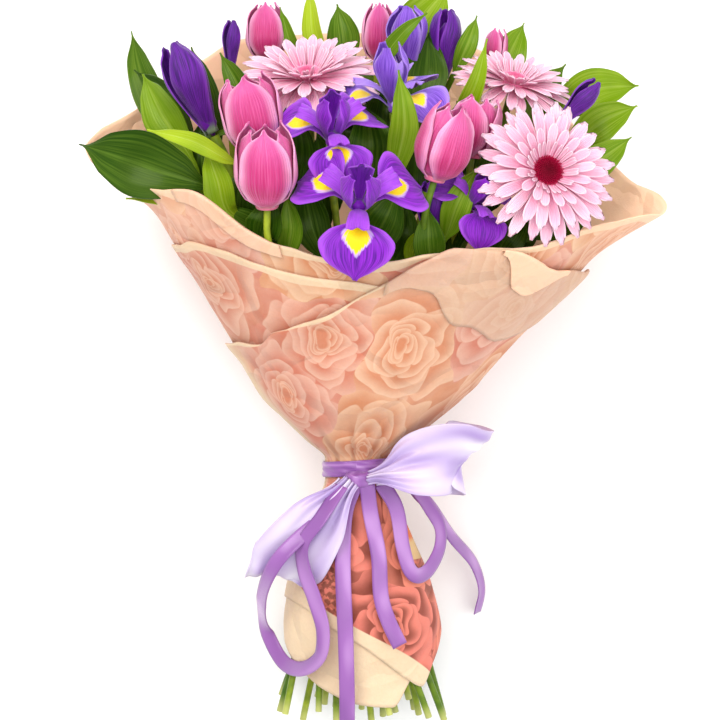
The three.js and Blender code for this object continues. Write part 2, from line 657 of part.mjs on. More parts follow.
// A leaf grows by a narrow foot from the nearest stalk, and opens from base to tip.
// Places are as seen from above; wide is the blade's width.
const LEAVES = [
  // left
  { base: [-98, 196, 160], middle: [-146, 212, 166], tip: [-194, 228, 146], wide: 46, cup: 0.2 },
  { base: [-130, 236, 104], middle: [-150, 276, 92], tip: [-158, 307, 80], wide: 24, cup: 0.3 },
  { base: [-116, 232, 112], middle: [-136, 262, 108], tip: [-156, 280, 100], wide: 22, cup: 0.3 },
  { base: [-104, 184, 150], middle: [-134, 190, 158], tip: [-162, 190, 160], wide: 11, cup: 0.3 },
  { base: [-114, 214, 134], middle: [-137, 250, 132], tip: [-150, 277, 122], wide: 28, cup: 0.35 },
  { base: [-88, 216, 196], middle: [-115, 230, 202], tip: [-147, 238, 198], wide: 12, cup: 0.3 },
  { base: [-90, 180, 180], middle: [-98, 204, 184], tip: [-106, 226, 180], wide: 22, cup: 0.3 },
  { base: [-106, 176, 136], middle: [-126, 194, 138], tip: [-142, 214, 132], wide: 26, cup: 0.2 },
  { base: [-96, 226, 110], middle: [-106, 262, 112], tip: [-116, 296, 104], wide: 22, cup: 0.3 },
  { base: [-48, 146, 186], middle: [-46, 170, 198], tip: [-50, 194, 200], wide: 17, cup: 0.35 },
  { base: [-58, 152, 170], middle: [-76, 168, 178], tip: [-98, 184, 176], wide: 28, cup: 0.2 },
  { base: [-24, 146, 176], middle: [-32, 172, 182], tip: [-38, 206, 178], wide: 26, cup: 0.2 },
  { base: [-76, 246, 128], middle: [-84, 270, 130], tip: [-96, 292, 124], wide: 18, cup: 0.3 },
  { base: [-50, 226, 140], middle: [-40, 252, 146], tip: [-22, 270, 144], wide: 20, cup: 0.2 },
  // middle
  { base: [8, 154, 166], middle: [20, 176, 174], tip: [28, 196, 174], wide: 30, cup: 0.2 },
  { base: [6, 198, 158], middle: [10, 226, 164], tip: [6, 256, 160], wide: 34, cup: 0.25 },
  { base: [28, 202, 178], middle: [33, 242, 194], tip: [29, 280, 198], wide: 20, cup: 0.4 },
  { base: [46, 216, 150], middle: [52, 244, 160], tip: [60, 268, 164], wide: 20, cup: 0.35 },
  { base: [60, 160, 176], middle: [71, 188, 188], tip: [84, 212, 186], wide: 20, cup: 0.3 },
  { base: [40, 150, 170], middle: [48, 162, 176], tip: [58, 172, 176], wide: 18, cup: 0.2 },
  { base: [2, 236, 104], middle: [-2, 262, 106], tip: [-8, 286, 100], wide: 24, cup: 0.2 },
  { base: [-6, 284, 52], middle: [-10, 306, 54], tip: [-14, 326, 50], wide: 24, cup: 0.2 },
  { base: [30, 290, 44], middle: [46, 316, 50], tip: [64, 338, 46], wide: 34, cup: 0.2 },
  { base: [18, 284, 112], middle: [32, 306, 122], tip: [49, 320, 124], wide: 12, cup: 0.3 },
  { base: [-28, 280, 66], middle: [-32, 310, 70], tip: [-33, 340, 66], wide: 14, cup: 0.4 },
  { base: [-44, 286, 72], middle: [-49, 306, 76], tip: [-54, 324, 72], wide: 10, cup: 0.3 },
  // right
  { base: [70, 282, 84], middle: [78, 300, 88], tip: [84, 318, 84], wide: 14, cup: 0.3 },
  { base: [60, 232, 122], middle: [82, 268, 138], tip: [91, 302, 146], wide: 14, cup: 0.35 },
  { base: [98, 270, 62], middle: [108, 294, 64], tip: [117, 313, 60], wide: 25, cup: 0.2 },
  { base: [136, 246, 84], middle: [166, 266, 90], tip: [197, 269, 84], wide: 32, cup: 0.2 },
  { base: [148, 226, 94], middle: [172, 244, 100], tip: [196, 255, 94], wide: 27, cup: 0.2 },
  { base: [150, 204, 108], middle: [174, 220, 114], tip: [192, 233, 110], wide: 24, cup: 0.2 },
  { base: [128, 164, 138], middle: [146, 178, 140], tip: [166, 192, 130], wide: 28, cup: 0.2 },
  { base: [98, 150, 156], middle: [108, 168, 160], tip: [122, 184, 154], wide: 26, cup: 0.2 },
  { base: [114, 236, 84], middle: [128, 262, 84], tip: [146, 284, 78], wide: 24, cup: 0.2 },
  { base: [120, 196, 120], middle: [142, 216, 122], tip: [160, 240, 116], wide: 26, cup: 0.2 },
  // dark ones that fill the room between and below the heads
  { base: [-104, 186, 120], middle: [-108, 214, 126], tip: [-110, 244, 120], wide: 34, cup: 0.2 },
  { base: [-66, 160, 194], middle: [-64, 174, 202], tip: [-60, 192, 200], wide: 26, cup: 0.2 },
  { base: [-86, 160, 150], middle: [-84, 186, 160], tip: [-80, 212, 156], wide: 32, cup: 0.2 },
  { base: [-48, 186, 150], middle: [-46, 220, 160], tip: [-44, 250, 150], wide: 36, cup: 0.2 },
  { base: [-66, 160, 160], middle: [-58, 190, 170], tip: [-50, 216, 160], wide: 34, cup: 0.2 },
  { base: [-20, 170, 150], middle: [-24, 202, 162], tip: [-28, 236, 156], wide: 32, cup: 0.2 },
  { base: [-10, 206, 140], middle: [-12, 236, 146], tip: [-14, 262, 138], wide: 34, cup: 0.2 },
  { base: [16, 210, 120], middle: [18, 242, 126], tip: [20, 272, 118], wide: 34, cup: 0.2 },
  { base: [44, 250, 90], middle: [48, 278, 92], tip: [50, 306, 84], wide: 32, cup: 0.2 },
  { base: [36, 176, 146], middle: [40, 206, 152], tip: [42, 236, 146], wide: 32, cup: 0.2 },
  { base: [22, 146, 160], middle: [30, 166, 168], tip: [36, 188, 164], wide: 28, cup: 0.2 },
  { base: [60, 146, 150], middle: [62, 174, 158], tip: [66, 200, 152], wide: 32, cup: 0.2 },
  { base: [62, 196, 130], middle: [66, 228, 136], tip: [70, 258, 128], wide: 32, cup: 0.2 },
  { base: [88, 176, 130], middle: [92, 206, 138], tip: [96, 238, 130], wide: 34, cup: 0.2 },
  { base: [104, 146, 136], middle: [112, 168, 142], tip: [122, 190, 134], wide: 30, cup: 0.2 },
  { base: [52, 142, 186], middle: [50, 162, 196], tip: [50, 184, 194], wide: 22, cup: 0.2 },
];

const LEAF_GREEN = 0x3f7a1c;
const FOOT = 24; // how far back along its stalk a leaf's foot springs

for (const stalk of STALKS) {
  const curve = new THREE.CatmullRomCurve3(stalk.points, false, "centripetal");
  stalk.spots = curve.getSpacedPoints(80).filter((p) => p.y > 20);
  stalk.leaves = [];
}

// The way from a stalk to the base of a leaf: where it springs and how far it has to go.
function springing(stalk, base) {
  const spots = stalk.spots.filter((p) => p.y < base.y - 4);
  const cost = (p) => Math.abs(p.distanceTo(base) - FOOT);
  const spot = spots.reduce((best, p) => (cost(p) < cost(best) ? p : best), spots[0]);
  return { spot, cost: spot ? cost(spot) + 0.2 * spot.distanceTo(base) : Infinity };
}

for (const leaf of LEAVES) {
  const base = seen(...leaf.base);
  const ways = STALKS.map((stalk) => ({ stalk, ...springing(stalk, base) }));
  const best = ways.reduce((a, b) => (b.cost < a.cost ? b : a));
  best.stalk.leaves.push({ ...leaf, spot: best.spot });
}

function leafBlade({ spot, base, middle, tip, wide, cup }, grow) {
  const [low, mid, end] = [base, middle, tip].map((place) => seen(...place));
  const width = (t) => (t < 0.3 ? 4 : Math.max(wide * BROAD(t), 1));
  const face = vec((mid.x - 20) / 400, 0.1, 1);
  return blade([spot, low, mid, end], { width, rows: 4, cup, face }, LEAF, grow);
}

// How thick a stalk is along its length: irises have a sheath, gerberas a collar.
const SHEATH = { iris: 1.5, bud: 1.4, gerbera: 1.2, tulip: 1, shoot: 0.6 };

function stalkWithLeaves({ kind, points, leaves }, grow) {
  const swell = (t) => lerp(1, SHEATH[kind], THREE.MathUtils.smoothstep(t, 0.86, 0.97));
  const stem = bar(points, (t) => STEM_RADIUS[kind] * swell(t), 4, grow);
  return join([stem, ...leaves.map((one) => leafBlade(one, grow))]);
}

// ---------------------------------------------------------------- ribbons

// A strip of ribbon through places as seen from above. A loop of the bow is drawn
// together where it leaves the knot and comes back to it.
const drawnIn = through([[0, 0.22], [0.22, 0.8], [0.5, 1], [0.78, 0.8], [1, 0.22]]);
const SLANT = 1.3; // the bow is folded on a slant, so its folds are longer than the ribbon is wide

function strip({ places, wide, face, lastFace = face, across, rows }, grow) {
  const points = places.map((place) => seen(...place));
  const form = across
    ? { rows, cols: 1, width: (t) => wide * SLANT * drawnIn(t), across: vec(...across) }
    : { rows, cols: 1, width: () => wide, face: vec(...face), lastFace: vec(...lastFace) };
  return blade(points, form, SATIN, grow);
}

const RIBBONS = {
  bow_left: {
    wide: WIDE, rows: 14, across: [1, 0, 0.1],
    places: [
      [-4, -8, 121], [-18, -25, 127], [-35, -47, 123], [-50, -67, 112], [-56, -75, 103],
      [-50, -67, 99], [-37, -49, 109], [-22, -27, 116], [-8, -9, 116],
    ],
  },
  bow_right: {
    wide: WIDE, rows: 14, across: [0.67, 0.74, 0],
    places: [
      [8, -5, 121], [28, 1, 131], [52, 6, 133], [72, 9, 126], [80, 10, 115],
      [73, 9, 106], [54, 5, 109], [32, 0, 115], [12, -5, 117],
    ],
  },
  tail_straight: {
    wide: NARROW, rows: 12, face: [0, 0, 1],
    places: [
      [-1, -9, 119], [-8, -28, 117], [-10, -62, 118.5], [-8, -120, 116], [-7, -160, 105],
      [-7, -176, 97],
    ],
  },
  tail_short: {
    wide: NARROW, rows: 11, face: [0.15, 0, 1],
    places: [
      [7, -10, 119], [9, -28, 117], [15, -60, 117.5], [17, -90, 117.5], [22, -106, 114],
      [30, -123, 108],
    ],
  },
  tail_left: {
    wide: NARROW, rows: 20, face: [-0.5, 0.5, 1], lastFace: [-0.6, 0, 1],
    places: [
      [-11, -11, 124], [-25, -33, 132], [-38, -52, 128], [-37, -70, 120],
      [-30, -90, 115], [-24, -112, 113], [-26, -130, 107], [-38, -139, 90],
      [-52, -134, 66], [-63, -114, 58], [-67, -92, 92], [-61, -72, 121], [-53, -60, 127],
    ],
  },
  tail_right: {
    wide: NARROW, rows: 16, face: [0.25, 0, 1], lastFace: [1, 0, 0.8],
    places: [
      [17, -9, 116], [27, -26, 113], [32, -54, 112], [37, -70, 109], [42, -74, 104],
      [50, -70, 92], [58, -54, 78], [58, -40, 74], [50, -26, 80],
    ],
  },
  tail_far: {
    wide: NARROW, rows: 12, face: [0.7, 0.4, 1], lastFace: [1, 0.2, 0.6],
    places: [
      [42, -16, 83], [51, -25, 77], [66, -46, 52], [82, -66, 24], [87, -84, 12],
      [84, -100, 7],
    ],
  },
};

// The band round the tie and the knot in front of it.
const BAND_PLY = 3.4;
const bandPoint = (turn, along) => onCone(turn, along, BAND_PLY * plyGap(along));

function band(_, grow) {
  const levels = [6, 0, -5].map((along) =>
    Array.from({ length: CREASES }, (_, j) => {
      const turn = CREASE * j;
      return bandPoint(turn, along + 1.5 * Math.sin(rad(turn)));
    }),
  );
  const ring = shell(levels, SATIN, grow, true);
  const front = bandPoint(4, 0);
  const knotPlaces = [[-9, -5, -1], [-3, -7, 2], [3, -7, 2.4], [9, -4, -1]];
  const knotPoints = knotPlaces.map((off) => front.clone().add(vec(...off)));
  const knot = bar(knotPoints, (t) => 3 + 3 * Math.sin(Math.PI * t), 7, grow);
  return join([ring, knot]);
}

// ---------------------------------------------------------------- the bouquet

const PAPER_TAN = 0xe3b58c;
const SATIN_LILAC = 0xb58ae0;
const SATIN_WHITE = 0xe6dcf4;

// Every piece, firmest first. A later piece gives way where it would meet an earlier one.
const PIECES = [
  ...Object.entries(SHEETS).map(([name, form]) => ({
    name,
    color: PAPER_TAN,
    make: (grow) => paper(form, grow),
  })),
  ...Object.entries(FLOWERS).flatMap(([name, flower]) => {
    const matrix = stand(flower);
    const place = (make) => (grow) => make(flower.form, grow).transform(matrix.elements);
    const bloom = { name, color: flower.color, matrix, make: place(flower.make) };
    const disc = { name: `${name}_disc`, color: flower.discColor, matrix, make: place(gerberaDisc) };
    return flower.discColor ? [disc, bloom] : [bloom];
  }),
  { name: "ribbon_band", color: SATIN_LILAC, make: (grow) => band(null, grow) },
  ...Object.entries(RIBBONS).map(([name, form]) => ({
    name: `ribbon_${name}`,
    color: form.wide === WIDE ? SATIN_WHITE : SATIN_LILAC,
    make: (grow) => strip(form, grow),
  })),
  ...STALKS.map((stalk) => ({
    name: stalk.kind === "shoot" ? stalk.name : `${stalk.name}_stalk`,
    color: LEAF_GREEN,
    make: (grow) => stalkWithLeaves(stalk, grow),
  })),
];

const meet = (a, b) => [0, 1, 2].every((k) => a.min[k] < b.max[k] && b.min[k] < a.max[k]);

// The largest body of a piece, after its firmer neighbours have taken their room.
function fitted(piece, firmer) {
  const raw = piece.make(0);
  const box = raw.boundingBox();
  const near = firmer.filter((other) => meet(box, other.box)).map((other) => other.grown);
  const cut = near.length ? raw.subtract(join(near)) : raw;
  const bodies = cut.decompose().sort((a, b) => b.volume() - a.volume());
  return bodies[0];
}

function meshOf(body, color, matrix) {
  const { numProp, vertProperties, triVerts } = body.getMesh();
  const position = new THREE.BufferAttribute(new Float32Array(vertProperties), numProp);
  const geometry = new THREE.BufferGeometry().setAttribute("position", position);
  geometry.setIndex(new THREE.BufferAttribute(new Uint32Array(triVerts), 1));
  const material = new THREE.MeshStandardMaterial({ color, roughness: 0.6, metalness: 0 });
  const mesh = new THREE.Mesh(geometry, material);
  if (matrix) {
    geometry.applyMatrix4(matrix.clone().invert());
    matrix.decompose(mesh.position, mesh.quaternion, mesh.scale);
  }
  geometry.computeVertexNormals();
  return mesh;
}

const bouquet = new THREE.Group();
const firmer = [];
for (const piece of PIECES) {
  const body = fitted(piece, firmer);
  const grown = join([piece.make(GAP), piece.make(0)]);
  firmer.push({ grown, box: grown.boundingBox() });
  const mesh = meshOf(body, piece.color, piece.matrix);
  mesh.name = piece.name;
  bouquet.add(mesh);
}

// The origin is on the table, at the middle of the patch that the long sheet lies on.
bouquet.position.set(-REST.x, -REST.y, 0);

const root = new THREE.Group();
root.add(bouquet);
export default root;
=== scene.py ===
"""A hand-tied bouquet of tulips, irises and gerberas in printed kraft paper, tied with satin ribbon.

It lies on its back on a table, heads towards +Y. Shapes are worked out in millimetres from the point
of the table under the tie, as the CAD source does, and become metres in the row frame in build().
"""

import math

import bpy
import numpy as np
from mathutils import Matrix, Vector


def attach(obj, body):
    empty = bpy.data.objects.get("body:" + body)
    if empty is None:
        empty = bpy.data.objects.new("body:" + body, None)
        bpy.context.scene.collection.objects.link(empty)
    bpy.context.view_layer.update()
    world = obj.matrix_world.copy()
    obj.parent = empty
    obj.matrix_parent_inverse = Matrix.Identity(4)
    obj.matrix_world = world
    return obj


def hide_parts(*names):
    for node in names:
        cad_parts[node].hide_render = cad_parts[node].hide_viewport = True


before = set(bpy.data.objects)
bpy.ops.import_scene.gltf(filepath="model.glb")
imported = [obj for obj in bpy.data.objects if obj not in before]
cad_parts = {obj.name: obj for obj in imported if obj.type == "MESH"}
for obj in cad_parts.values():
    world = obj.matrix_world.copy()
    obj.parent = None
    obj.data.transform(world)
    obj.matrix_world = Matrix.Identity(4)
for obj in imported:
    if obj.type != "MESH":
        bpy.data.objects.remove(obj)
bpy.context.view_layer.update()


# ---------------------------------------------------------------------------------- view and light
# The photograph looks at the front of the bunch, which is its upper side here, so the camera looks
# straight down. The floor is plain and pale, and large soft lamps leave only faint shadows.

MM = 1000  # millimetres in a metre
TIE = np.array([-0.034, -0.272, 0.0])  # the point of the table under the tie, in the row frame
EYE = np.array([2.0, 77.0, 1900.0])  # the camera, from the tie
SIGHT_PLANE = 130.0  # height where places are read off the photograph
FRAME_SIDE = 504.0  # what the photograph's frame spans there
SENSOR = 36.0
FAR = 20  # how far the camera sees, in metres
LAMPS = [  # name, place, what it lights, size, watts, colour
    ("key", (-0.8, 0.8, 1.9), (0, -0.1, 0.1), 1.0, 25, (1.0, 0.98, 0.96)),
    ("fill", (1.3, -0.5, 1.5), (0, -0.1, 0.1), 1.8, 15, (0.97, 0.98, 1.0)),
    ("top", (0.1, -0.1, 2.6), (0, -0.1, 0.0), 1.6, 19, (1, 1, 1)),
    ("behind", (0.0, 1.6, 1.0), (0.1, 0.0, 0.12), 1.4, 9, (1, 1, 1)),
]
SKY = 0.8
FLOOR_HALF = 4
FLOOR_DROP = 0.0004  # keeps the floor clear of the paper that lies on it


def placed(point):
    """A point from the tie, in mm, in the row frame in metres."""
    return TIE + np.asarray(point, dtype=float) / MM


def add_object(name, data):
    made = bpy.data.objects.new(name, data)
    bpy.context.scene.collection.objects.link(made)
    return made


camera = add_object("camera", bpy.data.cameras.new("camera"))
camera.location = placed(EYE)
camera.data.sensor_width = SENSOR
camera.data.lens = SENSOR * (EYE[2] - SIGHT_PLANE) / FRAME_SIDE
camera.data.clip_end = FAR
bpy.context.scene.camera = camera

for name, at, aim, size, watts, color in LAMPS:
    light = add_object(name, bpy.data.lights.new(name, "AREA"))
    light.data.shape = "DISK"
    light.data.size = size
    light.data.energy = watts
    light.data.color = color
    light.location = at
    light.rotation_euler = (Vector(aim) - Vector(at)).to_track_quat("-Z", "Y").to_euler()

world = bpy.data.worlds.new("studio")
world.use_nodes = True
world.node_tree.nodes["Background"].inputs["Color"].default_value = (1, 1, 1, 1)
world.node_tree.nodes["Background"].inputs["Strength"].default_value = SKY
bpy.context.scene.world = world
bpy.context.scene.view_settings.view_transform = "Standard"


class Pattern:
    """A number, colour or place that a node tree works out at each point, for use in sums."""

    def __init__(self, socket):
        self.socket = socket
        self.tree = socket.id_data

    def math(self, operation, *values, clamp=False):
        return pattern(self.tree, "ShaderNodeMath", 0, dict(enumerate((self, *values))),
                       operation=operation, use_clamp=clamp)

    def __add__(self, other):
        return self.math("ADD", other)

    def __sub__(self, other):
        return self.math("SUBTRACT", other)

    def __mul__(self, other):
        return self.math("MULTIPLY", other)

    def __truediv__(self, other):
        return self.math("DIVIDE", other)

    def __pow__(self, other):
        return self.math("POWER", other)

    def __abs__(self):
        return self.math("ABSOLUTE")

    def spread(self, low, high, to_low=0.0, to_high=1.0, way="SMOOTHSTEP"):
        """Its place between low and high, softly, as one between to_low and to_high."""
        return pattern(self.tree, "ShaderNodeMapRange", 0, {
            "Value": self, "From Min": low, "From Max": high, "To Min": to_low, "To Max": to_high,
        }, interpolation_type=way)


def fill(made, inputs):
    """Gives a node its inputs, each a plain value or a pattern."""
    for key, value in inputs.items():
        if isinstance(value, Pattern):
            made.id_data.links.new(value.socket, made.inputs[key])
        else:
            made.inputs[key].default_value = value


def node(tree, kind, inputs=None, **settings):
    made = tree.nodes.new(kind)
    for key, value in settings.items():
        setattr(made, key, value)
    fill(made, inputs or {})
    return made


def pattern(tree, kind, output, inputs=None, **settings):
    """The pattern that one output of a new node gives."""
    return Pattern(node(tree, kind, inputs, **settings).outputs[output])


def noise(where, scale, detail=2.0, output="Fac", **inputs):
    inputs = {"Vector": where, "Scale": scale, "Detail": detail, **inputs}
    return pattern(where.tree, "ShaderNodeTexNoise", output, inputs)


def mixed(share, a, b, blend="MIX"):
    """Two colours mixed by share."""
    tree = next(value.tree for value in (share, a, b) if isinstance(value, Pattern))
    a, b = (value if isinstance(value, Pattern) else (*value, 1) for value in (a, b))
    return pattern(tree, "ShaderNodeMix", 2, {0: share, 6: a, 7: b}, data_type="RGBA", blend_type=blend)


def material(name, plain):
    """A new material, whose plain colour is for viewports, with its tree and its shader."""
    made = bpy.data.materials.new(name)
    made.use_nodes = True
    made.diffuse_color = (*plain, 1)
    return made, made.node_tree, made.node_tree.nodes["Principled BSDF"]


def own_place(tree):
    """The place on the piece itself, so that what is drawn there never slides."""
    return pattern(tree, "ShaderNodeTexCoord", "Object")


floor_material, tree, shader = material("floor_pale", (0.95, 0.95, 0.95))
grain = noise(own_place(tree), 300.0)
fill(shader, {"Base Color": mixed(grain, (0.93, 0.93, 0.93), (0.95, 0.95, 0.95)), "Roughness": 0.9})
corners = [(-1, -1), (1, -1), (1, 1), (-1, 1)]
floor_mesh = bpy.data.meshes.new("floor")
floor_mesh.from_pydata([(x * FLOOR_HALF, y * FLOOR_HALF, 0) for x, y in corners], [], [(0, 1, 2, 3)])
floor_mesh.materials.append(floor_material)
floor = add_object("floor", floor_mesh)
floor.location.z = -FLOOR_DROP


# ---------------------------------------------------------------------------------- wrapping paper
# Three sheets of kraft paper, printed with roses outside and plain inside. They are wound round the
# stems, gathered under the tie, and their rims are turned down outside at the front.


def through(knots):
    """A smooth function through (place, value) knots that never overshoots them."""
    places, values = np.array(knots, dtype=float).T
    rise = np.diff(values) / np.diff(places)
    left, right = rise[:-1], rise[1:]
    same = left * right > 0
    slopes = np.zeros(len(places))
    slopes[1:-1][same] = (2 * left * right / np.where(same, left + right, 1))[same]

    def curve(place):
        x = np.clip(place, places[0], places[-1])
        i = np.clip(np.searchsorted(places, x, side="left") - 1, 0, len(rise) - 1)
        span = places[i + 1] - places[i]
        t = (x - places[i]) / span
        return (
            values[i] * (1 + 2 * t) * (1 - t) ** 2
            + slopes[i] * span * t * (1 - t) ** 2
            + values[i + 1] * t * t * (3 - 2 * t)
            + slopes[i + 1] * span * t * t * (t - 1)
        )

    return curve


def unit(v):
    return v / np.maximum(np.linalg.norm(v, axis=-1, keepdims=True), 1e-9)


def smoothstep(x, low, high):
    t = np.clip((x - low) / (high - low), 0, 1)
    return t * t * (3 - 2 * t)


cone_width = through([
    (-180, 49), (-120, 54), (-85, 48), (-50, 35), (-20, 23), (-7, 20), (7, 20), (21, 34),
    (50, 66), (95, 100), (133, 131), (167, 157), (190, 175), (230, 199), (340, 213),
])
cone_across = through([
    (-190, 4), (0, 0), (50, 4.5), (95, 11.5), (133, 20), (167, 24), (190, 29), (340, 35),
])
cone_height = through([(-190, 47), (0, 90), (190, 128), (340, 152)])
cone_flat = through([
    (-180, 0.86), (-60, 0.92), (0, 1), (30, 0.9), (95, 0.76), (133, 0.72), (340, 0.72),
])
ply_gap = through([(-180, 2), (-40, 1.8), (-9, 1.3), (7, 1.4), (15, 2), (60, 2.3), (190, 2.6)])


def on_cone(turn, along, out=0.0):
    """A point round the cone. turn is 0 at the top, 90 on the right and 180 at the table."""
    angle = np.radians(turn)
    width = cone_width(along)
    return points_at(cone_across(along) + (width + out) * np.sin(angle), along,
                     cone_height(along) + (width * cone_flat(along) + out) * np.cos(angle))


def set_uv(mesh, uv):
    """Gives a mesh a UV map from one place for each vertex."""
    corners = np.empty(len(mesh.loops), dtype=np.int32)
    mesh.loops.foreach_get("vertex_index", corners)
    mesh.uv_layers.new(name="UVMap").data.foreach_set("uv", uv[corners].astype(np.float32).ravel())


def build(name, parts, materials):
    """A mesh object of several parts. A part has verts, faces, uv, slots of its faces and tones.

    tones are named numbers for each vertex, which the materials read as attributes.
    """
    verts = np.concatenate([part["verts"] for part in parts])
    starts = np.cumsum([0] + [len(part["verts"]) for part in parts[:-1]])
    faces = [tuple(int(k) + int(start) for k in face)
             for part, start in zip(parts, starts) for face in part["faces"]]
    mesh = bpy.data.meshes.new(name)
    mesh.from_pydata(placed(verts).tolist(), [], faces)
    for each in materials:
        mesh.materials.append(each)
    slots = np.concatenate([part["slots"] for part in parts]).astype(np.int32)
    mesh.polygons.foreach_set("material_index", slots)
    smooth = [part.get("smooth", np.ones(len(part["faces"]), dtype=bool)) for part in parts]
    mesh.polygons.foreach_set("use_smooth", np.concatenate(smooth))
    set_uv(mesh, np.concatenate([part["uv"] for part in parts]))
    for tone in parts[0]["tones"]:
        values = np.concatenate([np.broadcast_to(part["tones"][tone], len(part["verts"]))
                                 for part in parts])
        layer = mesh.attributes.new(tone, "FLOAT", "POINT")
        layer.data.foreach_set("value", values.astype(np.float32))
    mesh.update()
    return add_object(name, mesh)


def points_at(x, y, z):
    """A grid of points from grids of numbers."""
    return np.stack(np.broadcast_arrays(x, y, z), axis=-1)


def shell(grid, thickness, uv=None, slots=(0, 0, 0), round_=False, **tones):
    """A thin closed solid round a grid of points, with the slots of its upper face, lower face
    and edge. A round grid closes on itself across."""
    rows, cols = grid.shape[:2]
    if round_:
        across = np.roll(grid, -1, axis=1) - np.roll(grid, 1, axis=1)
    else:
        across = np.gradient(grid, axis=1)
    half = unit(np.cross(np.gradient(grid, axis=0), across)) * thickness / 2
    verts = np.concatenate([(grid + half).reshape(-1, 3), (grid - half).reshape(-1, 3)])
    ids = np.arange(rows * cols).reshape(rows, cols)
    ids = np.column_stack([ids, ids[:, 0]]) if round_ else ids
    back = rows * cols
    upper = np.stack([ids[:-1, :-1], ids[1:, :-1], ids[1:, 1:], ids[:-1, 1:]], axis=-1).reshape(-1, 4)
    edges = [(ids[0, :-1], ids[0, 1:]), (ids[-1, 1:], ids[-1, :-1])]
    if not round_:
        edges += [(ids[1:, 0], ids[:-1, 0]), (ids[:-1, -1], ids[1:, -1])]
    p, q = (np.concatenate(ends) for ends in zip(*edges))
    hems = np.column_stack([p, q, q + back, p + back])
    if uv is None:
        uv = np.stack(np.meshgrid(np.linspace(0, 1, cols), np.linspace(0, 1, rows)), axis=-1)
    return {
        "verts": verts, "faces": np.concatenate([upper, upper[:, ::-1] + back, hems]),
        "uv": np.concatenate([uv.reshape(-1, 2)] * 2),
        "slots": np.repeat(slots, [len(upper), len(upper), len(hems)]),
        "tones": {tone: np.tile(np.broadcast_to(value, (rows, cols)).ravel(), 2)
                  for tone, value in tones.items()},
        "smooth": np.repeat([True, False], [2 * len(upper), len(hems)]),
    }


def finish_piece(piece, slot, *nodes):
    """The piece rides on the bouquet's one body and stands for these CAD nodes."""
    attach(piece, "root")
    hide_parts(*nodes)
    return piece


PAPER = 0.8  # thickness
CREASE = 15.0  # the ends of sheets and folds are given in steps of so many degrees round the cone
PAPER_STEP = 1.5  # degrees between points round the cone
PAPER_ROWS = 111
FOLD_ROWS = 22
LINES = 90  # how many straight ridges the handled paper has
RIDGE = 9  # half the width of one
CORNERS = [(-92, -24, 16, 175), (92, 24, 16, 145)]  # turn, reach, how wide, from what level
chance = np.random.default_rng(7)
FOLD_LINES = np.column_stack([
    chance.uniform(-180, 180, LINES),  # where round the cone the line is
    chance.uniform(-160, 330, LINES),  # and where along it
    chance.uniform(-0.9, 0.9, LINES),  # its slant
    chance.uniform(25, 80, LINES),  # how long it is
    chance.uniform(-1.1, 1.1, LINES),  # how high its ridge stands
])


def pleat(turn, along):
    """The pleats of the paper where it is gathered, from -1 in their valleys to 1."""
    angle = np.radians(turn)
    return np.sin(11 * angle + 0.8 * np.sin(3 * angle)) * np.exp(-((along / 42) ** 2))


def crumple(turn, along):
    """How far handled paper stands out of its smooth form: short straight ridges, and pleats where
    it is gathered under the tie. It is the same for every ply, so plies never cross."""
    radius = cone_width(along)
    across = np.radians(turn) * radius
    height = 0.0
    for place, level, slant, length, ridge in FOLD_LINES:
        x = across - math.radians(place) * cone_width(level)
        y = along - level
        off = (x * math.cos(slant) - y * math.sin(slant)) / RIDGE
        on = (x * math.sin(slant) + y * math.cos(slant)) / length
        height = height + ridge * np.maximum(0, 1 - np.abs(off)) * np.exp(-(on ** 2) * 4)
    free = smoothstep(np.abs(along), 5, 26)
    return height * smoothstep(np.abs(along), 12, 40) + 1.1 * pleat(turn, along) * free


def paper_point(turn, along, ply):
    turn, along = np.broadcast_arrays(turn, along)
    point = on_cone(turn, along, ply * ply_gap(along) + crumple(turn, along))
    for corner, reach, wide, start in CORNERS:
        near = np.exp(-(((turn - corner) / wide) ** 2))
        point[..., 0] += reach * near * smoothstep(along, start, start + 45)
    point[..., 2] = np.maximum(point[..., 2], PAPER / 2)
    return point


def print_place(turn, along):
    """Where a point of the cone lies on its flat sheet, in units of 100 mm. Above the tie the sheet
    spreads like a fan, and below it the skirt hangs nearly straight."""
    slant = 60 + 1.15 * along
    angle = np.radians(turn) * 0.62
    fan = np.stack([slant * np.sin(angle), slant * np.cos(angle)], axis=-1)
    skirt = np.stack([np.radians(turn) * cone_width(along) - 20, along + 0 * turn], axis=-1)
    return np.where(along[..., None] > 0, fan, skirt) / 100


def kinked(curve, seed):
    """A sheet's edge with the small straight bends of handled paper."""
    chance = np.random.default_rng(seed)
    places = np.arange(-184, 190, 8)
    places = places + chance.uniform(-2.5, 2.5, len(places))
    bends = chance.uniform(-1.8, 1.8, len(places))
    return lambda turn: curve(turn) + np.interp(turn, places, bends)


def paper_strip(start, end, levels, ply_at, whole=False):
    """A strip of paper from start to end round the cone. levels(turn) runs from one long edge to the
    other, and ply_at(turn, along) is the ply it lies on."""
    turn = np.linspace(start, end, int(round((end - start) / PAPER_STEP)) + 1)
    if whole:
        turn = turn[:-1]
    along = levels(turn)
    return paper_point(turn, along, ply_at(turn, along)), turn, along


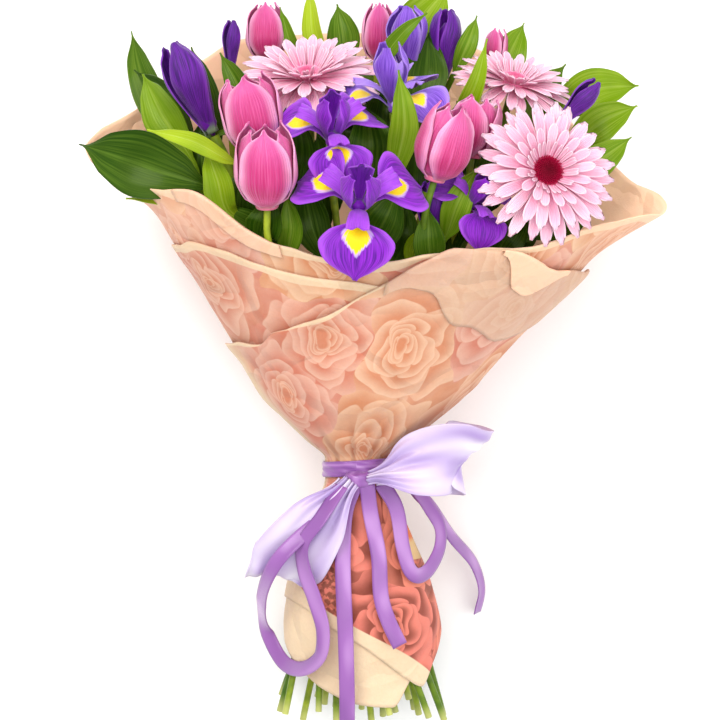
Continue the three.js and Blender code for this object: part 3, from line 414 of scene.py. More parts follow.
# The sheets: ply, ends in creases, how far its rim curls up on the left in plies, how wide the bare
# strip along the rim is, rim and hem as (turn, along), and the folds of the rim.
SHEETS = {
    "paper_back": {
        "ply": 0, "ends": (-12, 12), "curl": 0, "strip": 4,
        "rim": [
            (-180, 322), (-150, 318), (-136, 300), (-124, 276), (-106, 246), (-92, 226), (-80, 198),
            (-52, 190), (-38, 163), (-20, 146), (0, 142), (15, 148), (40, 153), (60, 166), (78, 176),
            (92, 180), (106, 196), (122, 212), (137, 240), (153, 288), (180, 322),
        ],
        "hem": [(-180, -118), (180, -118)],
        "folds": [
            {"ends": (-4, -2), "ply": 1, "pale": 0.4, "depth": [(-60, 8), (-45, 15), (-30, 8)]},
        ],
    },
    "paper_left": {
        "ply": 1, "ends": (-9, 3), "curl": 0, "strip": 5,
        "rim": [
            (-135, 120), (-110, 150), (-90, 158), (-67, 158), (-50, 150), (-38, 142), (-18, 130),
            (0, 126), (45, 124),
        ],
        "hem": [
            (-135, -100), (-90, -124), (-60, -142), (-30, -160), (0, -170), (25, -172), (45, -150),
        ],
        "folds": [],
    },
    "paper_right": {
        "ply": 2, "ends": (-6, 9), "curl": 1.4, "strip": 1,
        "rim": [
            (-90, 90), (-51, 89), (-33, 99), (-18, 106), (-6, 120), (9, 140), (17, 150), (35, 149),
            (50, 139), (70, 138), (90, 141), (110, 124), (135, 96),
        ],
        "hem": [
            (-90, -94), (-70, -95), (-48, -99), (-20, -114), (0, -126), (30, -148), (52, -158),
            (66, -140), (90, -118), (135, -96),
        ],
        "folds": [
            {"ends": (0, 6), "ply": 3, "pale": 0.0, "depth": [(0, 8), (30, 50), (60, 47), (90, 34)]},
            {"ends": (2, 4), "ply": 4, "pale": 0.7, "depth": [(30, 3), (40, 22), (45, 22), (60, 3)]},
        ],
    },
}


def tint(red, green, blue):
    """The linear colour of a screen colour of 0 to 255."""
    share = np.array([red, green, blue]) / 255
    return tuple(np.where(share <= 0.04045, share / 12.92, ((share + 0.055) / 1.055) ** 2.4))


def attribute(tree, name):
    return pattern(tree, "ShaderNodeAttribute", "Fac", attribute_name=name)


def ramp(share, stops):
    """A colour ramp through (place, colour) stops."""
    made = node(share.tree, "ShaderNodeValToRGB", {"Fac": share})
    elements = made.color_ramp.elements
    for _ in stops[2:]:
        elements.new(0.5)
    for element, (place, color) in zip(elements, stops):
        element.position = place
        element.color = (*color, 1)
    return Pattern(made.outputs["Color"])


def bump(height, distance, strength=1.0):
    return pattern(height.tree, "ShaderNodeBump", "Normal",
                   {"Height": height, "Distance": distance, "Strength": strength})


def vectors(operation, a, b):
    return pattern(a.tree, "ShaderNodeVectorMath", 0, {0: a, 1: b}, operation=operation)


ROSE_RINGS = 8
ROSE_SIZE = 0.78  # the outer ring's reach, in the cells' measure
RING_STEP = 0.74  # each ring's size as a share of the one round it
OUTER_RINGS = 5  # rings of three petals, with rings of two inside them
RING_TURN = 2.3
FULL_TURN = 6.28
BARE_WAVER = 8.0  # how unevenly the bare strip along a rim ends


def rose_print(tree, tan, strength):
    """Large soft roses over kraft. Each cell of a Voronoi pattern is one bloom, made of rings of
    lobed petals, each ring smaller than the last and in front of it. strength is how dark it is."""
    uv = pattern(tree, "ShaderNodeUVMap", "UV", uv_map="UVMap")
    off = vectors("SUBTRACT", noise(uv, 3.4, 1.0, "Color"), (0.5, 0.5, 0.5))
    off = pattern(tree, "ShaderNodeVectorMath", 0, {0: off, "Scale": 0.26}, operation="SCALE")
    place = vectors("ADD", uv, off)
    cells = node(tree, "ShaderNodeTexVoronoi", {"Vector": place, "Scale": 1.42, "Randomness": 0.6},
                 voronoi_dimensions="2D", feature="F1")
    distance = Pattern(cells.outputs["Distance"])
    own = vectors("SUBTRACT", place, Pattern(cells.outputs["Position"]))
    own = node(tree, "ShaderNodeSeparateXYZ", {0: own})
    angle = Pattern(own.outputs["Y"]).math("ARCTAN2", Pattern(own.outputs["X"]))
    pick = node(tree, "ShaderNodeSeparateColor", {0: Pattern(cells.outputs["Color"])})
    turned = angle + Pattern(pick.outputs[0]) * FULL_TURN
    soft = noise(place, 7.0, 3.0)
    shade = soft * 0.5
    for ring in range(ROSE_RINGS):
        size = ROSE_SIZE * RING_STEP ** ring
        lobes = 1.5 if ring < OUTER_RINGS else 1.0
        wave = turned.math("MULTIPLY_ADD", lobes, RING_TURN * ring)
        lobe = abs(wave.math("SINE")) ** 0.6
        depth = (lobe.math("MULTIPLY_ADD", 0.3 * size, 0.7 * size) - distance) / size
        petal = ramp(depth, [(spot, (grey, grey, grey)) for spot, grey in
                             ((0.0, 0.8), (0.03, 1.0), (0.12, 0.74), (0.34, 0.06))])
        petal = petal * lobe.spread(0.0, 0.6, 0.5, 1.0)
        shade = mixed(depth.spread(0.0, 0.03), shade, petal)
    shade = mixed(0.24, shade, soft)
    bloom = ramp(Pattern(pick.outputs[1]), [
        (0.0, tint(236, 134, 66)), (0.25, tint(238, 172, 104)), (0.5, tint(222, 112, 98)),
        (0.75, tint(232, 134, 130)), (1.0, tint(226, 98, 60)),
    ])
    bloom = mixed(distance.spread(0.3, 0.05, 0.0, 0.5), bloom, tint(236, 150, 80))

    # The skirt's roses are redder and darker.
    deep = attribute(tree, "deep")
    bloom = mixed(deep, bloom, tint(240, 48, 26))
    shade = mixed(deep, shade, shade.spread(0.16, 0.8))
    light = mixed(deep.math("MULTIPLY_ADD", -0.46, 0.64), bloom, tint(244, 210, 186))
    dark = mixed(deep, tint(196, 92, 56), tint(84, 8, 8))
    drawn = mixed(shade, mixed(deep.math("MULTIPLY_ADD", 0.2, 0.68), bloom, dark), light)

    # A patch of dark seeds on the left of the skirt, and a folded corner on its right.
    seeds = noise(uv, 26.0).spread(0.42, 0.56) * attribute(tree, "seeded")
    drawn = mixed(seeds * 0.8, drawn, tint(110, 34, 20))
    corner = attribute(tree, "corner")
    folded = mixed(corner.spread(12.0, 17.0), tint(238, 196, 136), tint(240, 112, 36))
    drawn = mixed(corner.spread(0.0, 0.8), drawn, folded)

    rim = (noise(uv, 2.5, 0.0) - 0.5).math("MULTIPLY_ADD", BARE_WAVER, attribute(tree, "below_rim"))
    share = attribute(tree, "printed").math("MULTIPLY", strength, clamp=True)
    share = share * attribute(tree, "above_end").spread(0.0, 1.0) * rim.spread(0.0, 0.6, 0.15, 1.0)
    return mixed(share, tan, drawn)


def kraft(name, tan, strength, opened):
    """Kraft paper: pale fibres, a few darker flecks, soft blotches, handling creases and painted shade
    in the pleats under the tie. opened is how much paler it is painted where the cone opens, as
    painted light that comes through the paper."""
    made, tree, shader = material(name, tan)
    where = own_place(tree)
    fibre = noise(where, 420.0, 4.0, Roughness=0.7)
    worn = fibre * 0.16 + noise(where, 22.0, 3.0) * 0.22
    wear = ramp(worn, [(0.1, (0.74, 0.76, 0.74)), (0.3, (0.88, 0.93, 0.95))])
    color = mixed(1.0, rose_print(tree, tan, strength), wear, "MULTIPLY")
    # Painted shade in the valleys of the pleats where the paper is gathered under the tie.
    color = mixed(attribute(tree, "gathered"), color, tint(120, 62, 40))
    # Painted light: paler near the open top of the cone, for light that comes through the paper. Folds
    # are paler by their pale share.
    color = mixed(attribute(tree, "open") * opened, color, tint(255, 208, 172))
    bent = mixed(0.07, where, noise(where, 14.0, 3.0, "Color"))
    creases = pattern(tree, "ShaderNodeTexVoronoi", "Distance", {"Vector": bent, "Scale": 17.0},
                      feature="DISTANCE_TO_EDGE")
    height = creases.math("MINIMUM", 0.16) * 4.0 + fibre * 0.12
    fill(shader, {
        "Base Color": color, "Normal": bump(height, 0.003, 0.8), "Roughness": 0.6,
        "Specular IOR Level": 0.3, "Subsurface Weight": 0.12,
        "Subsurface Radius": (0.003, 0.002, 0.001),
    })
    return made


paper_outside = kraft("kraft_printed", tint(242, 210, 174), 0.94, 0.3)
paper_inside = kraft("kraft_plain", tint(222, 184, 156), 0.3, 0.9)

for seed, (name, sheet) in enumerate(SHEETS.items()):
    top, bottom = kinked(through(sheet["rim"]), seed), through(sheet["hem"])
    start, end = (CREASE * crease for crease in sheet["ends"])
    whole = end - start == 360
    share = np.linspace(0, 1, PAPER_ROWS)[:, None]
    curl = sheet["curl"]
    grid, turn, along = paper_strip(
        start, end, lambda turn: bottom(turn) + share * (top(turn) - bottom(turn)),
        lambda turn, along: sheet["ply"] + curl * smoothstep(top(turn) - along, 16, 0)
        * smoothstep(turn, 0, -25), whole,
    )
    last_print = along + 0.55 * turn + 115 if name == "paper_right" else along + 10
    parts = [shell(
        grid, PAPER, print_place(turn[None, :], along), slots=(1, 0, 1), round_=whole,
        printed=smoothstep(turn, -84, -58) if name == "paper_right" else 1.0,
        # open paints light near the top of the cone
        deep=0.85 * smoothstep(along, -6, -14), open=smoothstep(along, 146, 176),
        above_end=last_print, below_rim=top(turn) - along - sheet["strip"],
        # painted shade in the valleys of the pleats
        gathered=0.4 * smoothstep(-pleat(turn, along), 0.35, 0.95),
        seeded=smoothstep(np.abs(turn + 24), 22, 8) * smoothstep(np.abs(along + 88), 36, 20),
        corner=np.minimum(turn - 38 - 0.3 * (along + 66), along + 66) * (along < 0),
    )]
    for fold in sheet["folds"]:
        depth = through(fold["depth"])
        steps = np.linspace(0, 1, FOLD_ROWS)[:, None]
        grid, turn, along = paper_strip(
            *(CREASE * crease for crease in fold["ends"]),
            lambda turn: (top(turn) + 0.2 * np.sin(np.pi * np.minimum(steps * 8, 1))
                          - steps * depth(turn)),
            lambda turn, along: sheet["ply"] + (fold["ply"] - sheet["ply"])
            * np.minimum(1, np.sqrt(steps * 8)),
        )
        parts.append(shell(
            grid, PAPER, print_place(turn[None, :], along), slots=(1, 0, 1),
            printed=1.0, deep=0.0, open=fold["pale"], above_end=99, below_rim=99, gathered=0.0,
            seeded=0.0, corner=0.0,
        ))
    piece = build(f"look_{name}", parts, [paper_outside, paper_inside])
    finish_piece(piece, "wrapping_paper", name)


# ---------------------------------------------------------------------------------- ribbon
# Satin ribbon: a narrow lilac one is wound round the tie and knotted in front, its ends hanging in
# loops and tails, and a wide paler one makes the bow's two loops, gathered into the knot.


def seen(across, along, height):
    """A place as the camera sees it, on the plane SIGHT_PLANE up, at its own height."""
    reach = (EYE[2] - height) / (EYE[2] - SIGHT_PLANE)
    return np.array([EYE[0] + (across - EYE[0]) * reach, EYE[1] + (along - EYE[1]) * reach, height])


def route(points, count, dense=60):
    """Evenly spaced points on a smooth curve through points, and the directions there."""
    p = np.array(points, dtype=float)
    p = np.vstack([2 * p[0] - p[1], p, 2 * p[-1] - p[-2]])
    curve = []
    for a, b, c, d in zip(p, p[1:], p[2:], p[3:]):
        before, here, after = (max(np.linalg.norm(q), 1e-6) ** 0.5 for q in (b - a, c - b, d - c))
        leave = ((b - a) / before - (c - a) / (before + here) + (c - b) / here) * here
        reach = ((c - b) / here - (d - b) / (here + after) + (d - c) / after) * here
        t = np.linspace(0, 1, dense, endpoint=False)[:, None]
        curve.append((2 * t**3 - 3 * t**2 + 1) * b + (t**3 - 2 * t**2 + t) * leave
                     + (-2 * t**3 + 3 * t**2) * c + (t**3 - t**2) * reach)
    curve = np.vstack(curve + [p[-2:-1]])
    lengths = np.concatenate([[0], np.cumsum(np.linalg.norm(np.diff(curve, axis=0), axis=1))])
    at = np.linspace(0, lengths[-1], count)
    spaced = points_at(*(np.interp(at, lengths, axis) for axis in curve.T))
    along = np.gradient(spaced, axis=0)
    return spaced, along / np.linalg.norm(along, axis=1, keepdims=True), lengths[-1]


def blade_grid(points, width, rows, cols, face=None, last_face=None, across=None, cup=0.0, lift=None):
    """A grid along a curve. face is the way its upper side looks, or across the way from edge to
    edge. cup lifts the edges by a share of half the width, and lift(t, v) lifts in mm."""
    middle, along, _ = route(points, rows)
    t = np.linspace(0, 1, rows)[:, None]
    v = np.linspace(-1, 1, cols)[None, :]
    if across is not None:
        look = np.cross(across, along)
    else:
        face = np.asarray(face, dtype=float)
        last = face if last_face is None else np.asarray(last_face, dtype=float)
        look = face * (1 - t) + last * t
    side = unit(np.cross(along, look))
    up = unit(np.cross(side, along))
    half = width(t) / 2
    rise = half * cup * v * v + (lift(t, v) if lift else 0)
    return middle[:, None] + side[:, None] * (half * v)[..., None] + up[:, None] * rise[..., None]


def petal_uv(tree):
    """How far across and along a ribbon, petal or leaf a point is."""
    uv = pattern(tree, "ShaderNodeUVMap", "UV", uv_map="UVMap")
    uv = node(tree, "ShaderNodeSeparateXYZ", {0: uv})
    return Pattern(uv.outputs["X"]), Pattern(uv.outputs["Y"])


def satin(name, deep, bright, pale, wide, long):
    """Satin: a close weave with painted shine along the ribbon and painted shade in its folds, and
    darker selvedges. wide and long are how often the painted shine and shade change over the
    ribbon's width and length."""
    made, tree, shader = material(name, bright)
    across, along = petal_uv(tree)
    where = own_place(tree)
    spot = pattern(tree, "ShaderNodeCombineXYZ", 0, {0: across * wide, 1: along * long})
    # Painted shine and fold shade: soft noise runs the colour from deep through bright to pale.
    folds = noise(spot, 1.0, 0.3)
    color = ramp(folds, [(0.25, deep), (0.5, bright), (0.75, pale)])
    selvedge = abs(across - 0.5).spread(0.46, 0.5, 0.0, 0.12, "LINEAR")
    weave = pattern(tree, "ShaderNodeTexWave", "Fac",
                    {"Vector": where, "Scale": 900.0, "Distortion": 1.5}, bands_direction="DIAGONAL")
    fill(shader, {
        "Base Color": mixed(selvedge, color, deep), "Roughness": 0.3, "Anisotropic": 0.6,
        "Normal": bump(weave * 0.1 + noise(where, 40.0) * 0.4, 0.0005, 0.3),
        "Sheen Weight": 0.2, "Sheen Roughness": 0.4,
    })
    return made


SATIN = 0.6  # thickness
NARROW = 11
WIDE = 42
ROUTE_POINTS = 60
BOW_GRID = (90, 45)
TAIL_STEP = 2  # mm of narrow ribbon between the rows of its grid
TAIL_COLUMNS = 7
lilac = satin("satin_lilac", tint(118, 66, 138), tint(148, 94, 166), tint(188, 142, 200), 0.7, 4)
pale_lilac = satin("satin_pale", tint(146, 116, 184), tint(200, 182, 216), tint(228, 220, 234), 3.2, 3)
SLANT = 1.3  # the bow is folded on a slant, so its folds are longer than the ribbon is wide
drawn_in = through([
    (0, 0.22), (0.22, 0.8), (0.42, 1), (0.5, 0.84), (0.58, 1), (0.78, 0.8), (1, 0.22),
])

RIBBONS = {
    "bow_left": {
        "wide": WIDE, "across": (1, 0, 0.1),
        "places": [
            (-4, -8, 121), (-18, -25, 127), (-35, -47, 123), (-50, -67, 112), (-56, -75, 103),
            (-50, -67, 99), (-37, -49, 109), (-22, -27, 116), (-8, -9, 116),
        ],
    },
    "bow_right": {
        "wide": WIDE, "across": (0.67, 0.74, 0),
        "places": [
            (8, -5, 121), (28, 1, 131), (52, 6, 133), (72, 9, 126), (80, 10, 115), (73, 9, 106),
            (54, 5, 109), (32, 0, 115), (12, -5, 117),
        ],
    },
    "tail_straight": {
        "wide": NARROW, "face": (0, 0, 1),
        "places": [
            (-1, -9, 119), (-8, -28, 117), (-10, -62, 118.5), (-8, -120, 116), (-7, -160, 105),
            (-7, -176, 97),
        ],
    },
    "tail_short": {
        "wide": NARROW, "face": (0.15, 0, 1),
        "places": [
            (7, -10, 119), (9, -28, 117), (15, -60, 117.5), (17, -90, 117.5), (22, -106, 114),
            (30, -123, 108),
        ],
    },
    "tail_left": {
        "wide": NARROW, "face": (-0.5, 0.5, 1), "last_face": (-0.6, 0, 1),
        "places": [
            (-11, -11, 124), (-25, -33, 132), (-38, -52, 128), (-37, -70, 120), (-30, -90, 115),
            (-24, -112, 113), (-26, -130, 107), (-38, -139, 90), (-52, -134, 66), (-63, -114, 58),
            (-67, -92, 92), (-61, -72, 121), (-53, -60, 127), (-41, -48, 127), (-29, -38, 127.5),
        ],
    },
    "tail_right": {
        "wide": NARROW, "face": (0.25, 0, 1), "last_face": (1, 0, 0.8),
        "places": [
            (17, -9, 116), (27, -26, 113), (32, -54, 112), (37, -70, 109), (42, -74, 104),
            (50, -70, 92), (58, -54, 78), (58, -40, 74), (50, -26, 80), (42, -14, 87), (34, -4, 93),
        ],
    },
    "tail_far": {
        "wide": NARROW, "face": (0.7, 0.4, 1), "last_face": (1, 0.2, 0.6),
        "places": [
            (35, -5, 89), (42, -16, 83), (51, -25, 77), (66, -46, 52), (82, -66, 24), (87, -84, 12),
            (84, -100, 7),
        ],
    },
}

for name, strip in RIBBONS.items():
    points = [seen(*place) for place in strip["places"]]
    length = route(points, ROUTE_POINTS)[2]
    if "across" in strip:
        width = lambda t: WIDE * SLANT * drawn_in(t)
        lift = lambda t, v: (2.6 * np.sin(14 * v + 1.2) * (1 - drawn_in(t)) ** 0.7
                             + 1.3 * np.sin(3 * v + 5 * t))
        grid = blade_grid(points, width, *BOW_GRID, across=strip["across"], lift=lift)
        cloth = pale_lilac
    else:
        width = lambda t: NARROW + 0 * t
        lift = lambda t, v: 0.5 * (v * v - 0.4) * np.sin(9 * t)
        grid = blade_grid(points, width, max(40, int(length / TAIL_STEP)), TAIL_COLUMNS,
                          face=strip["face"], last_face=strip.get("last_face"), lift=lift)
        cloth = lilac
    piece = build(f"look_ribbon_{name}", [shell(grid, SATIN)], [cloth])
    finish_piece(piece, "wide_ribbon" if strip["wide"] == WIDE else "narrow_ribbon", f"ribbon_{name}")

BAND_PLY = 3.4  # the band lies on the sheets' plies
KNOT_ROWS = 26
KNOT_LOOK = np.array([0.3, 0.2, 1.0])  # the way the knot's front faces


def band_point(turn, along, out=0.0):
    return on_cone(turn, along, BAND_PLY * ply_gap(along) + out)


turn = np.linspace(0, 360, 145)[:-1][None, :]
level = np.linspace(6, -5, 9)[:, None] + 1.5 * np.sin(np.radians(turn))
wound = 0.35 * np.cos(np.radians(turn) * 9 + level) + 0.3 * np.sin(level * 1.7 + np.radians(turn) * 2)
ring = shell(band_point(turn + 0 * level, level, wound), SATIN, round_=True)
front = band_point(np.array(4.0), np.array(0.0))
knot_places = [front + off for off in ((-9, -5, -1), (-3, -7, 2), (3, -7, 2.4), (9, -4, -1))]
middle, along, _ = route(knot_places, KNOT_ROWS)
normal = unit(KNOT_LOOK - along * (along @ KNOT_LOOK)[:, None])
side = np.cross(along, normal)
share = np.linspace(0, 1, KNOT_ROWS)[:, None]
wrap = np.linspace(0, 2 * np.pi, 41)[None, :-1]
girth = 2.9 + 2.9 * np.sin(np.pi * share) + 0.45 * np.sin(wrap * 4 + share * 5) - 0.3
knot_grid = (middle[:, None] + normal[:, None] * (np.cos(wrap) * girth)[..., None]
             + side[:, None] * (np.sin(wrap) * girth)[..., None])
knot = shell(knot_grid, SATIN, round_=True)
piece = build("look_ribbon_band", [ring, knot], [lilac])
finish_piece(piece, "narrow_ribbon", "ribbon_band")


# ---------------------------------------------------------------------------------- where flowers are
# Each flower is made upright on its own axis, with the top of its stem at zero, and then stands at a
# place seen in the photograph, looking along its aim and turned by its spin.


def stand(at, aim, spin):
    """The 4 x 4 matrix, in mm from the tie, that puts an upright flower on its place."""
    axis = unit(np.array(aim, dtype=float))
    side = unit(np.array([1.0, 0, 0]) - axis * axis[0])
    turn = math.radians(spin)
    basis = np.column_stack([side, np.cross(axis, side), axis])
    cosine, sine = math.cos(turn), math.sin(turn)
    spun = np.array([[cosine, -sine, 0], [sine, cosine, 0], [0, 0, 1]])
    whole = np.eye(4)
    whole[:3, :3] = basis @ spun
    whole[:3, 3] = seen(*at)
    return whole


def move(part, matrix):
    part["verts"] = part["verts"] @ matrix[:3, :3].T + matrix[:3, 3]
    return part


FLOWERS = {
    "tulip_left": ((-68, 221, 172), (-0.19, 0.95, 0.2), 30),
    "tulip_front": ((-63, 184, 212), (-0.02, 0.93, 0.36), -90),
    "tulip_right": ((54, 203, 205), (0.25, 0.92, 0.26), -60),
    "tulip_middle": ((80, 219, 166), (0.14, 0.97, 0.16), 0),
    "tulip_top_left": ((-63, 286, 66), (-0.02, 0.99, 0.1), 30),
    "tulip_top": ((14, 286, 58), (0.04, 0.99, 0.12), -90),
    "tulip_small": ((96, 284, 62), (0.1, 0.98, 0.1), 0),
    "iris_front": ((1, 181, 220), (0.03, 0.42, 0.9), -93),
    "iris_upper": ((-18, 229, 192), (0.04, 0.62, 0.78), -78),
    "iris_blue": ((26, 252, 156), (-0.08, 0.88, 0.46), 190),
    "iris_low": ((79, 183, 175), (0.36, 0.5, 0.75), 40),
    "iris_side": ((52, 160, 172), (-0.02, 0.96, 0.26), 0),
    "iris_half": ((36, 276, 84), (-0.02, 0.98, 0.18), 0),
    "bud_left": ((-101, 236, 142), (-0.42, 0.89, 0.14), 0),
    "bud_top": ((60, 274, 78), (0.04, 0.99, 0.1), 40),
    "bud_thin": ((-88, 278, 64), (0.02, 0.99, 0.1), 0),
    "bud_right": ((142, 242, 128), (0.66, 0.74, 0.1), 0),
    "gerbera_left": ((-35, 276, 128), (-0.06, 0.84, 0.54), 0),
    "gerbera_right": ((133, 209, 194), (0.26, 0.2, 0.94), 10),
    "gerbera_back": ((110, 272, 110), (0.22, 0.87, 0.44), 5),
}


def streaks(across, along, tone, wide, long, own=9, detail=3.0):
    """Fine streaks from a petal's or leaf's foot to its tip, different on each one."""
    place = {0: across * wide, 1: along * long, 2: tone * own}
    return noise(pattern(across.tree, "ShaderNodeCombineXYZ", 0, place), 1.0, detail)


def ribs(across, count, height):
    """Fine raised ribs that run from a petal's base to its tip."""
    return bump((across * count).math("SINE"), height, 0.5)


# ---------------------------------------------------------------------------------- tulips
# A closed tulip is three petals in front of three more, each with a rib down its middle and a thin
# paler edge that turns out a little near the tip.

TULIPS = {
    "tulip_left": {"height": 55, "girth": 40, "open": 4},
    "tulip_front": {"height": 57, "girth": 41, "open": 2},
    "tulip_right": {"height": 54, "girth": 38},
    "tulip_middle": {"height": 42, "girth": 34, "open": 3, "inset": 3.2},
    "tulip_top_left": {"height": 42, "girth": 30, "inset": 3.6},
    "tulip_top": {"height": 42, "girth": 24, "inset": 3.2},
    "tulip_small": {"height": 26, "girth": 17, "inset": 2.6},
}
PETAL = 0.7  # thickness
STUB_RINGS = 8
PETAL_TURNS = [(0, 0), (120, 0), (240, 0), (60, 1), (180, 1), (300, 1)]  # turn, and 1 for inner ones
tulip_profile = through([(0, 0.3), (0.14, 0.74), (0.4, 1), (0.7, 0.92), (0.88, 0.72), (1, 0.5)])
tulip_spread = through([(0, 40), (0.3, 57), (0.62, 54), (0.86, 37), (1, 5)])


def tube_faces(rings, sides):
    """The faces of a closed tube whose points go round ring after ring."""
    around = [(i * sides + j, i * sides + (j + 1) % sides)
              for i in range(rings - 1) for j in range(sides)]
    ends = [tuple(range(sides))[::-1], tuple(range((rings - 1) * sides, rings * sides))]
    return [(p, q, q + sides, p + sides) for p, q in around] + ends


def round_stub(low, high, radius, sides=20, **tones):
    """A short closed bar up the flower's axis, where it sits on its stem."""
    wrap = np.linspace(0, 2 * np.pi, sides, endpoint=False)[None, :]
    steps = np.linspace(0, 1, STUB_RINGS)[:, None]
    shape = radius * np.sqrt(np.maximum(1 - (2 * steps - 1) ** 6, 0.02))
    verts = points_at(shape * np.cos(wrap), shape * np.sin(wrap), low + (high - low) * steps)
    faces = tube_faces(STUB_RINGS, sides)
    uv = np.full((sides * STUB_RINGS, 2), (0.5, 0.04))
    return {"verts": verts.reshape(-1, 3), "faces": faces, "uv": uv, "slots": np.zeros(len(faces)),
            "tones": {"tone": 0.5, **tones}}


def tulip_petals(height, girth, open=0, inset=2.1, seed=0):
    chance = np.random.default_rng(seed)
    parts = [round_stub(-1, 4, girth * 0.19)]
    for turn, inner in PETAL_TURNS:
        t = np.linspace(0, 1, 30)[:, None] ** 0.9
        v = np.linspace(-1, 1, 23)[None, :]
        tall = height * (0.97 if inner else 1) * (1 + chance.uniform(-0.02, 0.02))
        wall = girth / 2 * tulip_profile(t) - inset * inner + open * t * t
        scale = girth / 40
        flare = 0.9 * np.abs(v) ** 3 * smoothstep(t, 0.45, 0.95)
        rib = 0.7 * np.exp(-((v / 0.1) ** 2)) * smoothstep(t, 0.05, 0.3)
        wave = 0.5 * np.sin(5 * v + 7 * t + chance.uniform(0, 6)) * t
        radius = np.maximum(wall, girth * 0.1) + scale * (flare - rib + wave)
        angle = np.radians(turn + tulip_spread(t) * v)
        up = tall * t - 1.6 * scale * v * v * t
        grid = points_at(radius * np.cos(angle), radius * np.sin(angle), up)
        parts.append(shell(grid, PETAL, tone=chance.uniform(0, 1)))
    return parts


def tulip_material():
    made, tree, shader = material("tulip_petal", tint(226, 62, 122))
    across, along = petal_uv(tree)
    color = ramp(along, [
        (0.0, tint(206, 150, 130)), (0.06, tint(200, 70, 130)), (0.2, tint(172, 16, 90)),
        (0.5, tint(188, 32, 112)), (1.0, tint(212, 90, 158)),
    ])
    edge = (abs(across - 0.5) * 2).spread(0.5, 1.0, 0.0, 0.85)
    color = mixed(edge, color, tint(246, 180, 216))
    fibres = streaks(across, along, attribute(tree, "tone"), 34, 2.2)
    color = mixed(fibres.spread(0.35, 0.75, 0.0, 0.34), color, tint(234, 112, 176))
    blush = noise(own_place(tree), 45.0)
    color = mixed(blush.spread(0.4, 0.7, 0.0, 0.35), color, tint(176, 10, 92))
    fill(shader, {
        "Base Color": color, "Normal": ribs(across, 130.0, 0.00035), "Roughness": 0.42,
        "Subsurface Weight": 0.12, "Subsurface Radius": (0.004, 0.0015, 0.0015), "Sheen Weight": 0.15,
    })
    return made


def add_flowers(forms, make, looks):
    """Makes and places flowers of one kind. looks(name) gives a flower's material and slot."""
    for seed, (name, form) in enumerate(forms.items()):
        matrix = stand(*FLOWERS[name])
        look, slot = looks(name)
        parts = [move(part, matrix) for part in make(**form, seed=seed)]
        finish_piece(build(f"look_{name}", parts, [look]), slot, name)


tulip_look = tulip_material()
add_flowers(TULIPS, tulip_petals, lambda name: (tulip_look, "tulip_petals"))


# ---------------------------------------------------------------------------------- irises
# A Dutch iris has three falls that spread and hang, each with a yellow signal patch, a forked style
# arm arched over the base of each fall, and three upright standards between them.

IRISES = {
    "iris_front": {"size": 0.92},
    "iris_upper": {"size": 0.8},
    "iris_blue": {"size": 0.86, "droop": 0.5},
    "iris_low": {"size": 0.66, "droop": 0.6, "patch": False},
}
FALL, STYLE, STANDARD, CORE = 0.0, 1.0, 2.0, 3.0  # what a part of an iris is, for its colours
THIN_PETAL = 0.6  # thickness
THIRDS = (0, 120, 240)  # an iris has three of each petal
fall_width = through([(0, 5), (0.3, 12), (0.44, 42), (0.56, 55), (0.7, 49), (0.88, 24), (1, 3)])
standard_width = through([(0, 4), (0.4, 12), (0.75, 19), (1, 6)])
style_width = through([(0, 5), (0.5, 13), (1, 17)])


def radial(turn, pairs, size=1):
    """Points out along a turn round the flower's axis, from (out, up) pairs."""
    angle = math.radians(turn)
    return [size * np.array([out * math.cos(angle), out * math.sin(angle), up]) for out, up in pairs]


def iris_petals(size=1.0, droop=1.0, patch=True, seed=0):
    chance = np.random.default_rng(40 + seed)
    up = np.array([0, 0, 1.0])
    parts = [round_stub(-2, 11 * size, 5 * size, kind=CORE)]
    for turn in THIRDS:
        out, inwards = radial(turn, [(1, 0)])[0], radial(turn + 60, [(-1, 0)])[0]
        shift = chance.uniform(0, 6)

        def fall_lift(t, v):
            ruffle = 1.5 * np.sin(11 * t + 2.5 * v + shift) * v * v * smoothstep(t, 0.4, 0.8)
            return size * (ruffle - 0.5 * np.exp(-((v / 0.12) ** 2)))

        petals = [
            (FALL if patch else STANDARD, turn, fall_width, (40, 25), 0.12, up, out + up, fall_lift,
             [(3, 2), (13, 13), (28, 18 - 2 * droop), (42, 14 - 8 * droop), (52, 6 - 14 * droop)]),
            (STYLE, turn, style_width, (22, 15), -0.3, up - 1.7 * out, None,
             lambda t, v: size * 1.6 * np.cos(6.3 * v) * smoothstep(t, 0.75, 1),
             [(3.2, 8), (10, 21), (21, 29), (30, 30)]),
            (STANDARD, turn + 60, standard_width, (30, 15), 0.35, inwards, None,
             lambda t, v: size * 1.3 * np.sin(13 * t + 3 * v + shift) * np.abs(v) * t,
             [(3, 4), (11, 22), (14, 40), (8, 56)]),
        ]
        for kind, way, width, fine, cup, face, last_face, lift, line in petals:
            grid = blade_grid(radial(way, line, size), lambda t: width(t) * size, *fine, face=face,
                              last_face=last_face, cup=cup, lift=lift)
            parts.append(shell(grid, THIN_PETAL, tone=chance.uniform(0, 1), kind=kind))
    return parts


